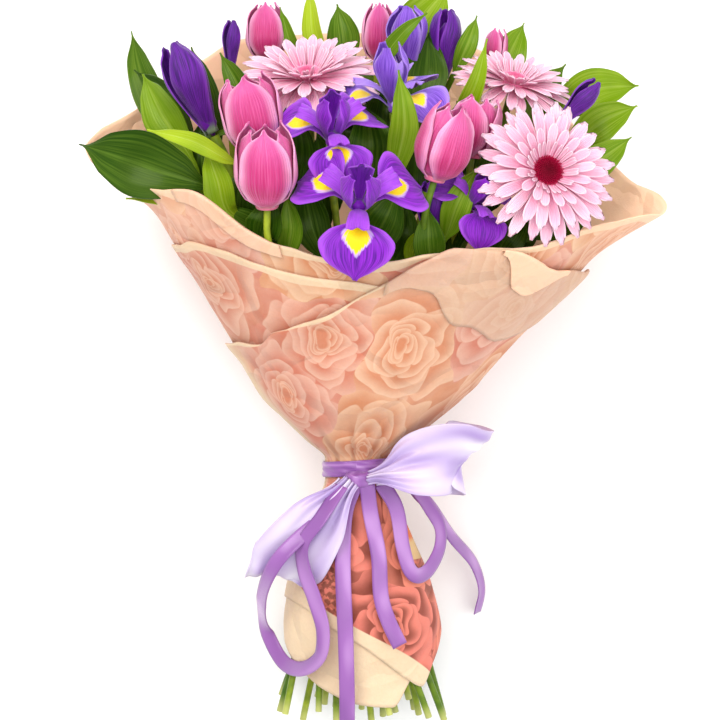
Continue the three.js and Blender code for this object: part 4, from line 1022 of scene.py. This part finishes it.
def iris_material(name, deep, bright, light):
    """Velvety petals with darker veins, and on the falls a yellow patch with a pale rim."""
    made, tree, shader = material(name, deep)
    across, along = petal_uv(tree)
    kind = attribute(tree, "kind")
    off = across - 0.5
    middle = abs(off)
    veins = streaks(off / (along + 0.35), along, attribute(tree, "tone"), 46, 3.5, 7, 2.5)
    color = mixed(veins.spread(0.3, 0.66, 0.1, 1.0), deep, bright)
    color = mixed(middle.spread(0.36, 0.5, 0.0, 0.6), color, light)
    styles = kind.math("COMPARE", STYLE, 0.3)
    color = mixed(styles * 0.45, color, light)

    # The patch is an uneven oval on the middle of the fall.
    reach = abs((along - 0.5) / 0.19)
    wide = middle / along.spread(0.32, 0.7, 0.3, 0.09)
    inside = reach ** 2.0 + wide ** 2.0 + (veins - 0.5) * 1.1
    falls = kind.math("COMPARE", FALL, 0.3)
    color = mixed(falls * inside.spread(1.35, 0.95) * 0.75, color, tint(206, 176, 236))
    color = mixed(falls * inside.spread(0.95, 0.6), color, tint(248, 208, 0))
    base = along.spread(0.14, 0.02, 0.0, 0.8)
    base = base.math("SUBTRACT", kind.math("COMPARE", CORE, 0.3), clamp=True)
    fill(shader, {
        "Base Color": mixed(base, color, tint(120, 146, 92)), "Normal": bump(veins, 0.0008, 0.5),
        "Roughness": 0.5, "Specular IOR Level": 0.25, "Sheen Weight": 0.1,
        "Subsurface Weight": 0.1, "Subsurface Radius": (0.002, 0.001, 0.004),
    })
    return made


violet = iris_material("iris_violet", tint(76, 6, 128), tint(136, 30, 190), tint(172, 84, 220))
blue_violet = iris_material(
    "iris_blue_violet", tint(84, 40, 156), tint(132, 84, 198), tint(180, 146, 228))
bud_violet = iris_material(
    "iris_bud_violet", tint(38, 0, 76), tint(96, 14, 146), tint(140, 62, 192))
BLUE = ("iris_blue", "iris_half")
BLUE_LOOK = (blue_violet, "blue_iris_petals")
add_flowers(IRISES, iris_petals,
            lambda name: BLUE_LOOK if name in BLUE else (violet, "violet_iris_petals"))


# ---------------------------------------------------------------------------------- iris buds
# A bud is three petals rolled round each other, dark outside, still partly in their green sheath.

BUDS = {
    "iris_side": {"height": 42, "girth": 19},
    "iris_half": {"height": 50, "girth": 28, "twist": 20},
    "bud_left": {"height": 68, "girth": 29},
    "bud_top": {"height": 50, "girth": 22},
    "bud_thin": {"height": 38, "girth": 12},
    "bud_right": {"height": 40, "girth": 15},
}
bud_profile = through([(0, 0.28), (0.3, 0.62), (0.68, 1), (0.88, 0.8), (1, 0.42)])


def bud_petals(height, girth, twist=50, seed=0):
    chance = np.random.default_rng(70 + seed)
    parts = [round_stub(-2, height * 0.8, girth * 0.22, kind=CORE)]
    for turn in THIRDS:
        t = np.linspace(0, 1, 34)[:, None]
        v = np.linspace(-1, 1, 21)[None, :]
        angle = np.radians(turn + twist * t + 70 * v * (1 - 0.5 * t * t))
        radius = girth / 2 * bud_profile(t) + v * 1.3
        radius = radius + girth / 28 * 0.7 * np.sin(9 * t + 4 * v + chance.uniform(0, 6)) * t
        up = height * t * (1 - 0.05 * v * v)
        grid = points_at(radius * np.cos(angle), radius * np.sin(angle), up)
        parts.append(shell(grid, THIN_PETAL, tone=chance.uniform(0, 1), kind=STANDARD))
    return parts


add_flowers(BUDS, bud_petals,
            lambda name: BLUE_LOOK if name in BLUE else (bud_violet, "violet_iris_petals"))


# ---------------------------------------------------------------------------------- gerberas
# A semi-double gerbera has three rings of rays, shorter and steeper inwards, then a fringe of narrow
# ones and a disc of tiny florets. Geometry Nodes set the rays in rings and the florets in a spiral.

DISC = 10.0  # radius of the disc of florets
FLORETS = 260
FLORET_SIDES = 5
FLORET_FOOT = 0.0014  # how high the florets' feet are, in metres
DOME = 0.0028  # how much higher they are in the middle
GOLDEN_TURN = 137.508  # degrees from each floret to the next
WIDE_AT = 55  # the radius of the bloom that the rays' widths are for
RAY_RINGS = [  # count, reach, width, lift, drop, root
    (25, 1, 9.8, 4, 7, -1.5),
    (21, 0.86, 9.0, 17, 5, 0),
    (17, 0.58, 7.2, 36, 2, 1.5),
    (26, 0.36, 2.6, 52, 0, 2.0),
]
ray_shape = through([(0, 0.3), (0.45, 0.82), (0.74, 1), (0.92, 0.74), (1, 0.3)])


def ray_mesh(name, radius, ring):
    """One ray lying out along +X: keeled below, with two shallow grooves and a notched tip."""
    _, reach, wide, lift, drop, root = ring
    t = np.linspace(0, 1, 13)[:, None]
    v = np.linspace(-1, 1, 7)[None, :]
    far = DISC - 1.5 + (radius * reach - DISC + 1.5) * t * (1 - 0.035 * (np.abs(v) > 0.9) * t)
    up = root + (far - DISC) * math.tan(math.radians(lift)) - drop * t * t
    half = wide / 2 * radius / WIDE_AT * ray_shape(t)
    up = up + 0.12 * half * v * v - 0.35 * np.cos(v * 9.4) * smoothstep(t, 0.1, 0.5)
    part = shell(points_at(far, half * v, up), THIN_PETAL)
    mesh = bpy.data.meshes.new(name)
    mesh.from_pydata((part["verts"] / MM).tolist(), [], part["faces"].tolist())
    set_uv(mesh, part["uv"])
    return bpy.data.objects.new(name, mesh)


def node_group(name, **sockets):
    """A geometry node group that takes and gives a geometry, and its further named inputs."""
    group = bpy.data.node_groups.new(name, "GeometryNodeTree")
    group.interface.new_socket("Geometry", in_out="OUTPUT", socket_type="NodeSocketGeometry")
    for socket, kind in {"Geometry": "Geometry", **sockets}.items():
        group.interface.new_socket(socket, in_out="INPUT", socket_type=f"NodeSocket{kind}")
    given = node(group, "NodeGroupInput")
    return group, {socket: Pattern(given.outputs[socket]) for socket in ("Geometry", *sockets)}


def random_value(seed, low, high):
    """A value between low and high, different on each copy."""
    vector = isinstance(low, tuple)
    first = 0 if vector else 2
    return pattern(seed.tree, "FunctionNodeRandomValue", 0 if vector else 1,
                   {first: low, first + 1: high, "Seed": seed},
                   data_type="FLOAT_VECTOR" if vector else "FLOAT")


def paint(geometry, given, smooth):
    """Ends a node group: its geometry gets its shading and its material."""
    tree = geometry.tree
    shaded = pattern(tree, "GeometryNodeSetShadeSmooth", 0,
                     {"Geometry": geometry, "Shade Smooth": smooth})
    painted = pattern(tree, "GeometryNodeSetMaterial", 0,
                      {"Geometry": shaded, "Material": given["Material"]})
    node(tree, "NodeGroupOutput", {0: painted})


def copies(given, points, turned, size, tone, smooth):
    """Ends a node group with copies of a shape on points, added to the geometry it was given."""
    tree = points.tree
    shape = pattern(tree, "GeometryNodeObjectInfo", "Geometry", {"Object": given["Shape"]})
    put = pattern(tree, "GeometryNodeInstanceOnPoints", 0,
                  {"Points": points, "Instance": shape, "Rotation": turned, "Scale": size})
    stored = pattern(tree, "GeometryNodeStoreNamedAttribute", 0,
                     {"Geometry": put, "Name": "tone", "Value": tone},
                     data_type="FLOAT", domain="INSTANCE")
    joined = node(tree, "GeometryNodeJoinGeometry", {0: given["Geometry"]})
    fill(joined, {0: pattern(tree, "GeometryNodeRealizeInstances", 0, {"Geometry": stored})})
    paint(Pattern(joined.outputs[0]), given, smooth)


def ring_group():
    """Copies of a shape round a ring, each turned a little by chance."""
    group, given = node_group("rays_in_a_ring", Shape="Object", Count="Int", Start="Float",
                              Sway="Vector", Seed="Int", Material="Material")
    count, seed = given["Count"], given["Seed"]
    turn = pattern(group, "GeometryNodeInputIndex", 0) / count * (2 * math.pi) + given["Start"]
    sway = vectors("MULTIPLY", random_value(seed, (-1, -1, -1), (1, 1, 1)), given["Sway"])
    turned = vectors("ADD", pattern(group, "ShaderNodeCombineXYZ", 0, {"Z": turn}), sway)
    copies(given, pattern(group, "GeometryNodePoints", 0, {"Count": count}), turned,
           random_value(seed, 0.93, 1.0), random_value(seed, 0.0, 1.0), True)
    return group


def floret_group():
    """Florets set in a sunflower spiral over a low dome, the outer ones longer and leaning out."""
    group, given = node_group("florets_in_a_spiral", Shape="Object", Count="Int", Radius="Float",
                              Dome="Float", Seed="Int", Material="Material")
    count = given["Count"]
    index = pattern(group, "GeometryNodeInputIndex", 0)
    turn = index * math.radians(GOLDEN_TURN)
    part = (index / count).math("SQRT")
    out = part * given["Radius"]
    spot = pattern(group, "ShaderNodeCombineXYZ", 0, {
        "X": out * turn.math("COSINE"), "Y": out * turn.math("SINE"),
        "Z": given["Dome"] - given["Dome"] * part ** 2.0 + FLORET_FOOT,
    })
    points = pattern(group, "GeometryNodePoints", 0, {"Count": count})
    points = pattern(group, "GeometryNodeSetPosition", 0, {"Geometry": points, "Position": spot})
    turned = pattern(group, "ShaderNodeCombineXYZ", 0, {"Y": part * 0.85, "Z": turn})
    size = (part * 0.5 + 0.65) * random_value(given["Seed"], 0.8, 1.15)
    copies(given, points, turned, size, part, False)
    return group


def add_nodes(piece, group, values):
    """A geometry nodes modifier on piece, its inputs set by name."""
    modifier = piece.modifiers.new(group.name, "NODES")
    modifier.node_group = group
    for item in group.interface.items_tree:
        if item.in_out == "INPUT" and item.name in values:
            modifier[item.identifier] = values[item.name]


def made_mesh(piece):
    """The plain mesh that a piece's modifiers make."""
    bpy.context.view_layer.update()
    return bpy.data.meshes.new_from_object(piece.evaluated_get(bpy.context.evaluated_depsgraph_get()))


def join_into(piece, other):
    """other's mesh becomes part of piece's."""
    with bpy.context.temp_override(active_object=piece, object=piece, selected_objects=[piece, other],
                                   selected_editable_objects=[piece, other]):
        bpy.ops.object.join()


def settle(piece, matrix, stub, look):
    """A piece made by nodes becomes plain mesh on its flower's place, with the stub behind it."""
    made = made_mesh(piece)
    piece.modifiers.clear()
    piece.data = made
    whole = Matrix(matrix.tolist())
    whole.translation = Vector(placed(matrix[:3, 3]))
    made.transform(whole)
    join_into(piece, build("stub", [move(stub, matrix)], [look]))


def ray_material():
    made, tree, shader = material("gerbera_ray", tint(246, 182, 206))
    across, along = petal_uv(tree)
    tone = attribute(tree, "tone")
    color = ramp(along, [
        (0.0, tint(214, 60, 120)), (0.16, tint(232, 114, 160)), (0.42, tint(238, 160, 190)),
        (0.8, tint(240, 184, 206)), (1.0, tint(246, 212, 226)),
    ])
    fibres = streaks(across, along, tone, 22, 1.6, detail=2.0)
    color = mixed(fibres.spread(0.4, 0.7, 0.0, 0.6), color, tint(240, 150, 186))
    color = mixed(abs(across - 0.5).spread(0.3, 0.5, 0.0, 0.5), color, tint(253, 228, 238))
    color = mixed(tone.spread(0.5, 1.0, 0.0, 0.22), color, tint(255, 236, 242))
    fill(shader, {
        "Base Color": color, "Normal": ribs(across, 44.0, 0.0004), "Roughness": 0.5,
        "Subsurface Weight": 0.12, "Subsurface Radius": (0.004, 0.002, 0.002),
    })
    return made


def floret_material(name, stops):
    made, tree, shader = material(name, stops[0][1])
    grain = noise(own_place(tree), 900.0).spread(0.5, 0.75, 0.0, 0.14)
    color = mixed(grain, ramp(attribute(tree, "tone"), stops), stops[-1][1])
    fill(shader, {"Base Color": color, "Roughness": 0.7, "Specular IOR Level": 0.1})
    return made


GERBERAS = {"gerbera_left": 56, "gerbera_right": 52, "gerbera_back": 47}  # radius
RAY_SWAY = (0.09, 0.06, 0.05)
rings_of_rays = ring_group()
spiral_of_florets = floret_group()
ray_look = ray_material()
dark_florets = floret_material("gerbera_floret_crimson", [
    (0.0, tint(84, 0, 20)), (0.5, tint(134, 0, 38)), (0.9, tint(164, 2, 54)),
    (1.0, tint(206, 84, 120)),
])
pale_florets = floret_material("gerbera_floret_pink", [
    (0.0, tint(222, 96, 146)), (0.6, tint(238, 142, 180)), (1.0, tint(252, 206, 222)),
])

tube = [(0.32, 0.0), (0.36, 1.3), (0.52, 1.9), (0.2, 2.1)]  # a floret's radius and height in mm
floret_mesh = bpy.data.meshes.new("floret")
floret_mesh.from_pydata([(r / MM * math.cos(a), r / MM * math.sin(a), z / MM) for r, z in tube
                         for a in np.linspace(0, 2 * math.pi, FLORET_SIDES, endpoint=False)],
                        [], tube_faces(len(tube), FLORET_SIDES))
floret_shape = bpy.data.objects.new("floret", floret_mesh)

for seed, (name, radius) in enumerate(GERBERAS.items()):
    matrix = stand(*FLOWERS[name])
    piece = add_object(f"look_{name}", bpy.data.meshes.new(f"look_{name}"))
    for ring in RAY_RINGS:
        count, reach = ring[:2]
        add_nodes(piece, rings_of_rays, {
            "Shape": ray_mesh(f"ray_{count}", radius, ring), "Count": count,
            "Start": 6 * math.pi * reach / count, "Sway": RAY_SWAY,
            "Seed": 10 * seed + count, "Material": ray_look,
        })
    settle(piece, matrix, round_stub(-4.5, 0.4, DISC + 3.2, sides=28), ray_look)
    finish_piece(piece, "gerbera_petals", name)

    florets = dark_florets if name == "gerbera_right" else pale_florets
    disc = add_object(f"look_{name}_disc", bpy.data.meshes.new(f"look_{name}_disc"))
    add_nodes(disc, spiral_of_florets, {
        "Shape": floret_shape, "Count": FLORETS, "Radius": (DISC - 0.6) / MM, "Dome": DOME,
        "Seed": seed, "Material": florets,
    })
    settle(disc, matrix, round_stub(-5, 2.6, DISC - 0.4, sides=28, tone=0.3), florets)
    finish_piece(disc, "gerbera_florets", f"{name}_disc")


# ---------------------------------------------------------------------------------- stalks and leaves
# Every stem runs from its cut end, spirals through the tie with the others, and bends out to its
# flower. Leaves grow from the stalks by a narrow foot. Shoots are stalks that carry only leaves.

SHOOTS = {
    "shoot_left": ((-112, 196, 134), (-0.6, 0.75, 0.1)),
    "shoot_right": ((136, 226, 96), (0.5, 0.85, -0.05)),
    "shoot_top": ((10, 268, 40), (0.1, 0.99, 0)),
    "shoot_low": ((-30, 130, 176), (-0.1, 0.8, 0.5)),
    "shoot_low_right": ((104, 140, 150), (0.4, 0.85, 0.3)),
}
STEM_RADIUS = {"tulip": 2.6, "iris": 2.65, "bud": 2.65, "gerbera": 2.5, "shoot": 2.5}
STEM_DROP = {"tulip": 1.4, "iris": 2.4, "bud": 2.4, "gerbera": 5.4, "shoot": 0}
# How much thicker a stem is under its flower.
SHEATH = {"iris": 1.5, "bud": 1.4, "gerbera": 1.2, "tulip": 1, "shoot": 0.6}
STEM_FAN = 66  # radius of the bunch of stems at their cut ends
NECK_ROOM = 15.8  # and in the tie
STEM_PITCH = 5.7  # how far apart stems stay
STRAIGHT = 22  # how much of a stem under its flower is straight
STEM_LEVELS = (-80, -10, 10, 40, 80, 130, 190)
twist = through([(-190, -42), (0, 0), (300, 24)])
spread = through([
    (-190, STEM_FAN / NECK_ROOM), (-105, 2.6), (-35, 1.35), (-10, 1), (10, 1), (40, 2.2),
    (75, 4.2), (190, 8.6), (340, 10.4),
])
stem_flat = through([(-190, 0.6), (-105, 0.8), (0, 1), (30, 0.9), (95, 0.76), (340, 0.72)])


def spun(place, degrees):
    angle = math.radians(degrees)
    cosine, sine = math.cos(angle), math.sin(angle)
    return np.array([place[0] * cosine - place[1] * sine, place[0] * sine + place[1] * cosine])


def in_bundle(place, along):
    """Where a stem with that place in the bundle passes a level."""
    turned = spun(place, twist(along)) * spread(along)
    return np.array([cone_across(along) + turned[0], along,
                     cone_height(along) + turned[1] * stem_flat(along)])


def place_in_bundle(point):
    off = np.array([point[0] - cone_across(point[1]),
                    (point[2] - cone_height(point[1])) / stem_flat(point[1])])
    return spun(off / spread(point[1]), -twist(point[1]))


def crowd(places, pitch, room):
    """Stems push each other apart until each has its own place inside the room."""
    for _ in range(300):
        for i, one in enumerate(places):
            for other in places[i + 1:]:
                x, y = one[0] - other[0], one[1] - other[1]
                apart = math.hypot(x, y)
                if apart >= pitch:
                    continue
                push = (pitch - apart) / 2 / apart
                one[0] += x * push
                one[1] += y * push
                other[0] -= x * push
                other[1] -= y * push
        for one in places:
            off = math.hypot(one[0], one[1])
            if off > room:
                one[0] *= room / off
                one[1] *= room / off


stalks = []
for i, (name, (at, aim)) in enumerate({**{k: v[:2] for k, v in FLOWERS.items()}, **SHOOTS}.items()):
    kind = name.split("_")[0]
    axis = unit(np.array(aim, dtype=float))
    top = seen(*at) - axis * STEM_DROP[kind]
    below = top - axis * STRAIGHT
    home = place_in_bundle(below)
    off = math.hypot(*home)
    tied = home * min(1, NECK_ROOM / off)
    stalks.append({"name": name, "kind": kind, "top": top, "below": below, "home": home,
                   "tied": tied.tolist(), "end": -170 - ((i * 37) % 11) * 1.9, "leaves": []})
crowd([stalk["tied"] for stalk in stalks], STEM_PITCH, NECK_ROOM)
for stalk in stalks:
    stalk["points"] = [in_bundle(stalk["tied"], stalk["end"])]
for level in STEM_LEVELS:
    passing = [stalk for stalk in stalks if stalk["below"][1] > level + 14]
    places = []
    for stalk in passing:
        share = smoothstep(level, 10, stalk["below"][1])
        places.append((np.array(stalk["tied"]) * (1 - share) + stalk["home"] * share).tolist())
    if level > 0:
        crowd(places, (STEM_PITCH + 0.6) / (spread(level) * stem_flat(level)), math.inf)
    for stalk, place in zip(passing, places):
        stalk["points"].append(in_bundle(place, level))
for stalk in stalks:
    stalk["points"] += [stalk["below"], stalk["top"]]
    spots = route(stalk["points"], 81)[0]
    stalk["spots"] = spots[spots[:, 1] > 20]

# Leaves: base, middle and tip as seen from above, width, cup, and how light it is, partly its own
# green and partly painted shade.
LEAVES = [
    # left
    ((-98, 196, 160), (-146, 212, 166), (-194, 228, 146), 46, 0.2, 0.12),
    ((-130, 236, 104), (-150, 276, 92), (-158, 307, 80), 24, 0.3, 0.3),
    ((-116, 232, 112), (-136, 262, 108), (-156, 280, 100), 22, 0.3, 0.15),
    ((-104, 184, 150), (-134, 190, 158), (-162, 190, 160), 11, 0.3, 0.9),
    ((-114, 214, 134), (-137, 250, 132), (-150, 277, 122), 28, 0.35, 0.6),
    ((-88, 216, 196), (-115, 230, 202), (-147, 238, 198), 12, 0.3, 0.85),
    ((-90, 180, 180), (-98, 204, 184), (-106, 226, 180), 22, 0.3, 0.7),
    ((-106, 176, 136), (-126, 194, 138), (-142, 214, 132), 26, 0.2, 0.1),
    ((-96, 226, 110), (-106, 262, 112), (-116, 296, 104), 22, 0.3, 0.2),
    ((-48, 146, 186), (-46, 170, 198), (-50, 194, 200), 17, 0.35, 0.5),
    ((-58, 152, 170), (-76, 168, 178), (-98, 184, 176), 28, 0.2, 0.15),
    ((-24, 146, 176), (-32, 172, 182), (-38, 206, 178), 26, 0.2, 0.1),
    ((-76, 246, 128), (-84, 270, 130), (-96, 292, 124), 18, 0.3, 0.3),
    ((-50, 226, 140), (-40, 252, 146), (-22, 270, 144), 20, 0.2, 0.5),
    # middle
    ((8, 154, 166), (20, 176, 174), (28, 196, 174), 30, 0.2, 0.2),
    ((6, 198, 158), (10, 226, 164), (6, 256, 160), 34, 0.25, 0.15),
    ((28, 202, 178), (33, 242, 198), (29, 280, 201), 20, 0.3, 0.6),
    ((46, 216, 150), (52, 244, 160), (60, 268, 164), 20, 0.35, 0.4),
    ((60, 160, 176), (71, 188, 188), (84, 212, 186), 20, 0.3, 0.55),
    ((40, 150, 170), (48, 162, 176), (58, 172, 176), 18, 0.2, 0.7),
    ((2, 236, 104), (-2, 262, 106), (-8, 286, 100), 24, 0.2, 0.3),
    ((-6, 284, 52), (-10, 306, 54), (-14, 326, 50), 24, 0.2, 0.35),
    ((30, 290, 44), (46, 316, 50), (64, 338, 46), 34, 0.2, 0.65),
    ((18, 284, 112), (32, 306, 122), (49, 320, 124), 12, 0.3, 0.5),
    ((-28, 280, 66), (-32, 310, 70), (-33, 340, 66), 14, 0.4, 0.85),
    ((-44, 286, 72), (-49, 306, 76), (-54, 324, 72), 10, 0.3, 0.5),
    # right
    ((70, 282, 84), (78, 300, 88), (84, 318, 84), 14, 0.3, 0.5),
    ((60, 232, 125), (82, 268, 146), (91, 302, 149), 14, 0.3, 0.7),
    ((98, 270, 62), (108, 294, 64), (117, 313, 60), 25, 0.2, 0.55),
    ((136, 246, 84), (166, 266, 90), (197, 269, 84), 32, 0.2, 0.65),
    ((148, 226, 94), (172, 244, 100), (196, 255, 94), 27, 0.2, 0.6),
    ((150, 204, 108), (174, 220, 114), (192, 233, 110), 24, 0.2, 0.55),
    ((128, 164, 138), (146, 178, 140), (166, 192, 130), 28, 0.2, 0.25),
    ((98, 150, 156), (108, 168, 160), (122, 184, 154), 26, 0.2, 0.1),
    ((114, 236, 84), (128, 262, 84), (146, 284, 78), 24, 0.2, 0.45),
    ((120, 196, 120), (142, 216, 122), (160, 240, 116), 26, 0.2, 0.15),
    # dark ones that fill the room between and below the heads, dark partly as painted shade
    ((-104, 186, 120), (-108, 214, 126), (-110, 244, 120), 34, 0.2, 0.1),
    ((-66, 160, 194), (-64, 174, 202), (-60, 192, 200), 26, 0.2, 0.12),
    ((-86, 160, 150), (-84, 186, 160), (-80, 212, 156), 32, 0.2, 0.08),
    ((-48, 186, 150), (-46, 220, 160), (-44, 250, 150), 36, 0.2, 0.06),
    ((-66, 160, 160), (-58, 190, 170), (-50, 216, 160), 34, 0.2, 0.06),
    ((-20, 170, 150), (-24, 202, 162), (-28, 236, 156), 32, 0.2, 0.08),
    ((-10, 206, 140), (-12, 236, 146), (-14, 262, 138), 34, 0.2, 0.06),
    ((16, 210, 120), (18, 242, 126), (20, 272, 118), 34, 0.2, 0.1),
    ((44, 250, 90), (48, 278, 92), (50, 306, 84), 32, 0.2, 0.12),
    ((36, 176, 146), (40, 206, 152), (42, 236, 146), 32, 0.2, 0.06),
    ((22, 146, 160), (30, 166, 168), (36, 188, 164), 28, 0.2, 0.1),
    ((60, 146, 150), (62, 174, 158), (66, 200, 152), 32, 0.2, 0.08),
    ((62, 196, 130), (66, 228, 136), (70, 258, 128), 32, 0.2, 0.08),
    ((88, 176, 130), (92, 206, 138), (96, 238, 130), 34, 0.2, 0.06),
    ((104, 146, 136), (112, 168, 142), (122, 190, 134), 30, 0.2, 0.08),
    ((52, 142, 186), (50, 162, 196), (50, 184, 194), 22, 0.2, 0.25),
]
LEAF_GRID = (44, 13)
FOOT = 24  # length of the narrow foot by which a leaf grows from its stalk
broad = through([(0.3, 0.2), (0.42, 0.66), (0.62, 1), (0.82, 0.66), (1, 0)])

for number, leaf in enumerate(LEAVES):
    base = seen(*leaf[0])
    best = None
    for stalk in stalks:
        spots = stalk["spots"][stalk["spots"][:, 1] < base[1] - 4]
        if not len(spots):
            continue
        reach = np.linalg.norm(spots - base, axis=1)
        k = int(np.argmin(np.abs(reach - FOOT)))
        cost = abs(reach[k] - FOOT) + 0.2 * reach[k]
        if best is None or cost < best[0]:
            best = (cost, stalk, spots[k])
    best[1]["leaves"].append((best[2], leaf, number))


def leaf_blade(spot, leaf, number):
    """A leaf with a sunk midrib, a slight roll along its edges and a slow wave down its length."""
    chance = np.random.default_rng(200 + number)
    base, middle, tip, wide, cup, shade = leaf
    low, mid, end = seen(*base), seen(*middle), seen(*tip)
    width = lambda t: np.where(t < 0.3, 4 + 0 * t, np.maximum(wide * broad(t), 0.8))
    shift = chance.uniform(0, 6)

    def lift(t, v):
        open_part = smoothstep(t, 0.3, 0.5)
        rib = -0.05 * wide * np.exp(-((v / 0.16) ** 2)) * open_part * (1 - t)
        wave = 0.035 * wide * np.sin(12 * t + shift + 2 * v) * np.abs(v) * open_part
        return rib + wave

    face = ((mid[0] - 20) / 400, 0.1, 1)
    grid = blade_grid([spot, low, mid, end], width, *LEAF_GRID, face=face, cup=cup, lift=lift)
    return shell(grid, PETAL, slots=(1, 1, 1), tone=chance.uniform(0, 1), light=shade)


def stem_group():
    """A round stem along a curve, as thick as the curve's own radius says, closed at its ends."""
    group, given = node_group("stem_along_a_curve", Sides="Int", Material="Material")
    ring = pattern(group, "GeometryNodeCurvePrimitiveCircle", 0,
                   {"Resolution": given["Sides"], "Radius": 1.0})
    marked = pattern(group, "GeometryNodeStoreNamedAttribute", 0, {
        "Geometry": given["Geometry"], "Name": "along",
        "Value": pattern(group, "GeometryNodeSplineParameter", "Factor"),
    }, data_type="FLOAT", domain="POINT")
    swept = node(group, "GeometryNodeCurveToMesh", {
        "Curve": marked, "Profile Curve": ring, "Fill Caps": True,
    })
    if "Scale" in swept.inputs:
        fill(swept, {"Scale": pattern(group, "GeometryNodeInputRadius", 0)})
    paint(Pattern(swept.outputs[0]), given, True)
    return group


def stem_material():
    made, tree, shader = material("stem_green", tint(92, 132, 40))
    streak = noise(own_place(tree), 120.0, 3.0)
    color = mixed(attribute(tree, "tone"), tint(76, 108, 14), tint(160, 176, 44))
    color = mixed(streak.spread(0.35, 0.7, 0.0, 0.5), color, tint(40, 78, 20))
    color = mixed(attribute(tree, "along").spread(0.03, 0.0, 0.0, 0.7), color, tint(196, 196, 120))
    fill(shader, {"Base Color": color, "Normal": bump(streak, 0.0005, 0.4), "Roughness": 0.42,
                  "Specular IOR Level": 0.25})
    return made


def leaf_material():
    """Waxy green with a pale midrib and fine long veins, darker or lighter from leaf to leaf, partly
    its own green and partly painted shade.
    """
    made, tree, shader = material("leaf_green", tint(50, 110, 30))
    across, along = petal_uv(tree)
    # How light the leaf is: partly its own green, partly painted shade for leaves deep in the bunch.
    light = attribute(tree, "light")
    color = ramp(light, [
        (0.0, tint(16, 40, 2)), (0.2, tint(34, 70, 4)), (0.5, tint(76, 114, 10)),
        (0.75, tint(126, 156, 4)), (1.0, tint(176, 190, 44)),
    ])
    veins = streaks(across, along, attribute(tree, "tone"), 28, 1.8)
    blotch = noise(own_place(tree), 28.0)
    for share, dark, bright in (
        (veins.spread(0.35, 0.7, 0.0, 0.5), tint(46, 86, 12), tint(186, 204, 76)),
        (abs(across - 0.5).spread(0.06, 0.015, 0.0, 0.4), tint(52, 92, 16), tint(186, 204, 92)),
        (blotch.spread(0.45, 0.7, 0.0, 0.4), tint(12, 34, 2), tint(90, 130, 20)),
    ):
        color = mixed(share, color, mixed(light, dark, bright))
    fill(shader, {
        "Base Color": color, "Normal": bump(veins, 0.0007, 0.45), "Roughness": 0.36,
        "Specular IOR Level": 0.3, "Specular Tint": (*tint(190, 220, 110), 1),
        "Coat Weight": 0.06, "Coat Roughness": 0.15,
    })
    return made


STEM_POINTS = 120
STEM_SIDES = 12
SLIM = 0.92  # a real stem is a little thinner than its solid
stem_look, leaf_look = stem_material(), leaf_material()
stem_nodes = stem_group()
for number, stalk in enumerate(stalks):
    name, kind = stalk["name"], stalk["kind"]
    points = route(stalk["points"], STEM_POINTS)[0]
    share = np.linspace(0, 1, STEM_POINTS)
    swell = 1 + (SHEATH[kind] - 1) * smoothstep(share, 0.86, 0.97)
    curve = bpy.data.curves.new(f"stem_{name}", "CURVE")
    curve.dimensions = "3D"
    spline = curve.splines.new("POLY")
    spline.points.add(len(points) - 1)
    spline.points.foreach_set("co", np.column_stack([placed(points), np.ones(STEM_POINTS)]).ravel())
    spline.points.foreach_set("radius", STEM_RADIUS[kind] * SLIM * swell / MM)
    stem = add_object(f"stem_{name}", curve)
    add_nodes(stem, stem_nodes, {"Sides": STEM_SIDES, "Material": stem_look})
    mesh = made_mesh(stem)
    bpy.data.objects.remove(stem)
    node_name = name if kind == "shoot" else f"{name}_stalk"
    piece = add_object(f"look_{node_name}", mesh)
    chance = np.random.default_rng(500 + number)
    tone = mesh.attributes.new("tone", "FLOAT", "POINT")
    tone.data.foreach_set("value", np.full(len(mesh.vertices), chance.uniform(0, 1), dtype=np.float32))
    if stalk["leaves"]:
        leaves = [leaf_blade(*one) for one in stalk["leaves"]]
        join_into(piece, build("leaves", leaves, [stem_look, leaf_look]))
    finish_piece(piece, "stems_and_leaves", node_name)
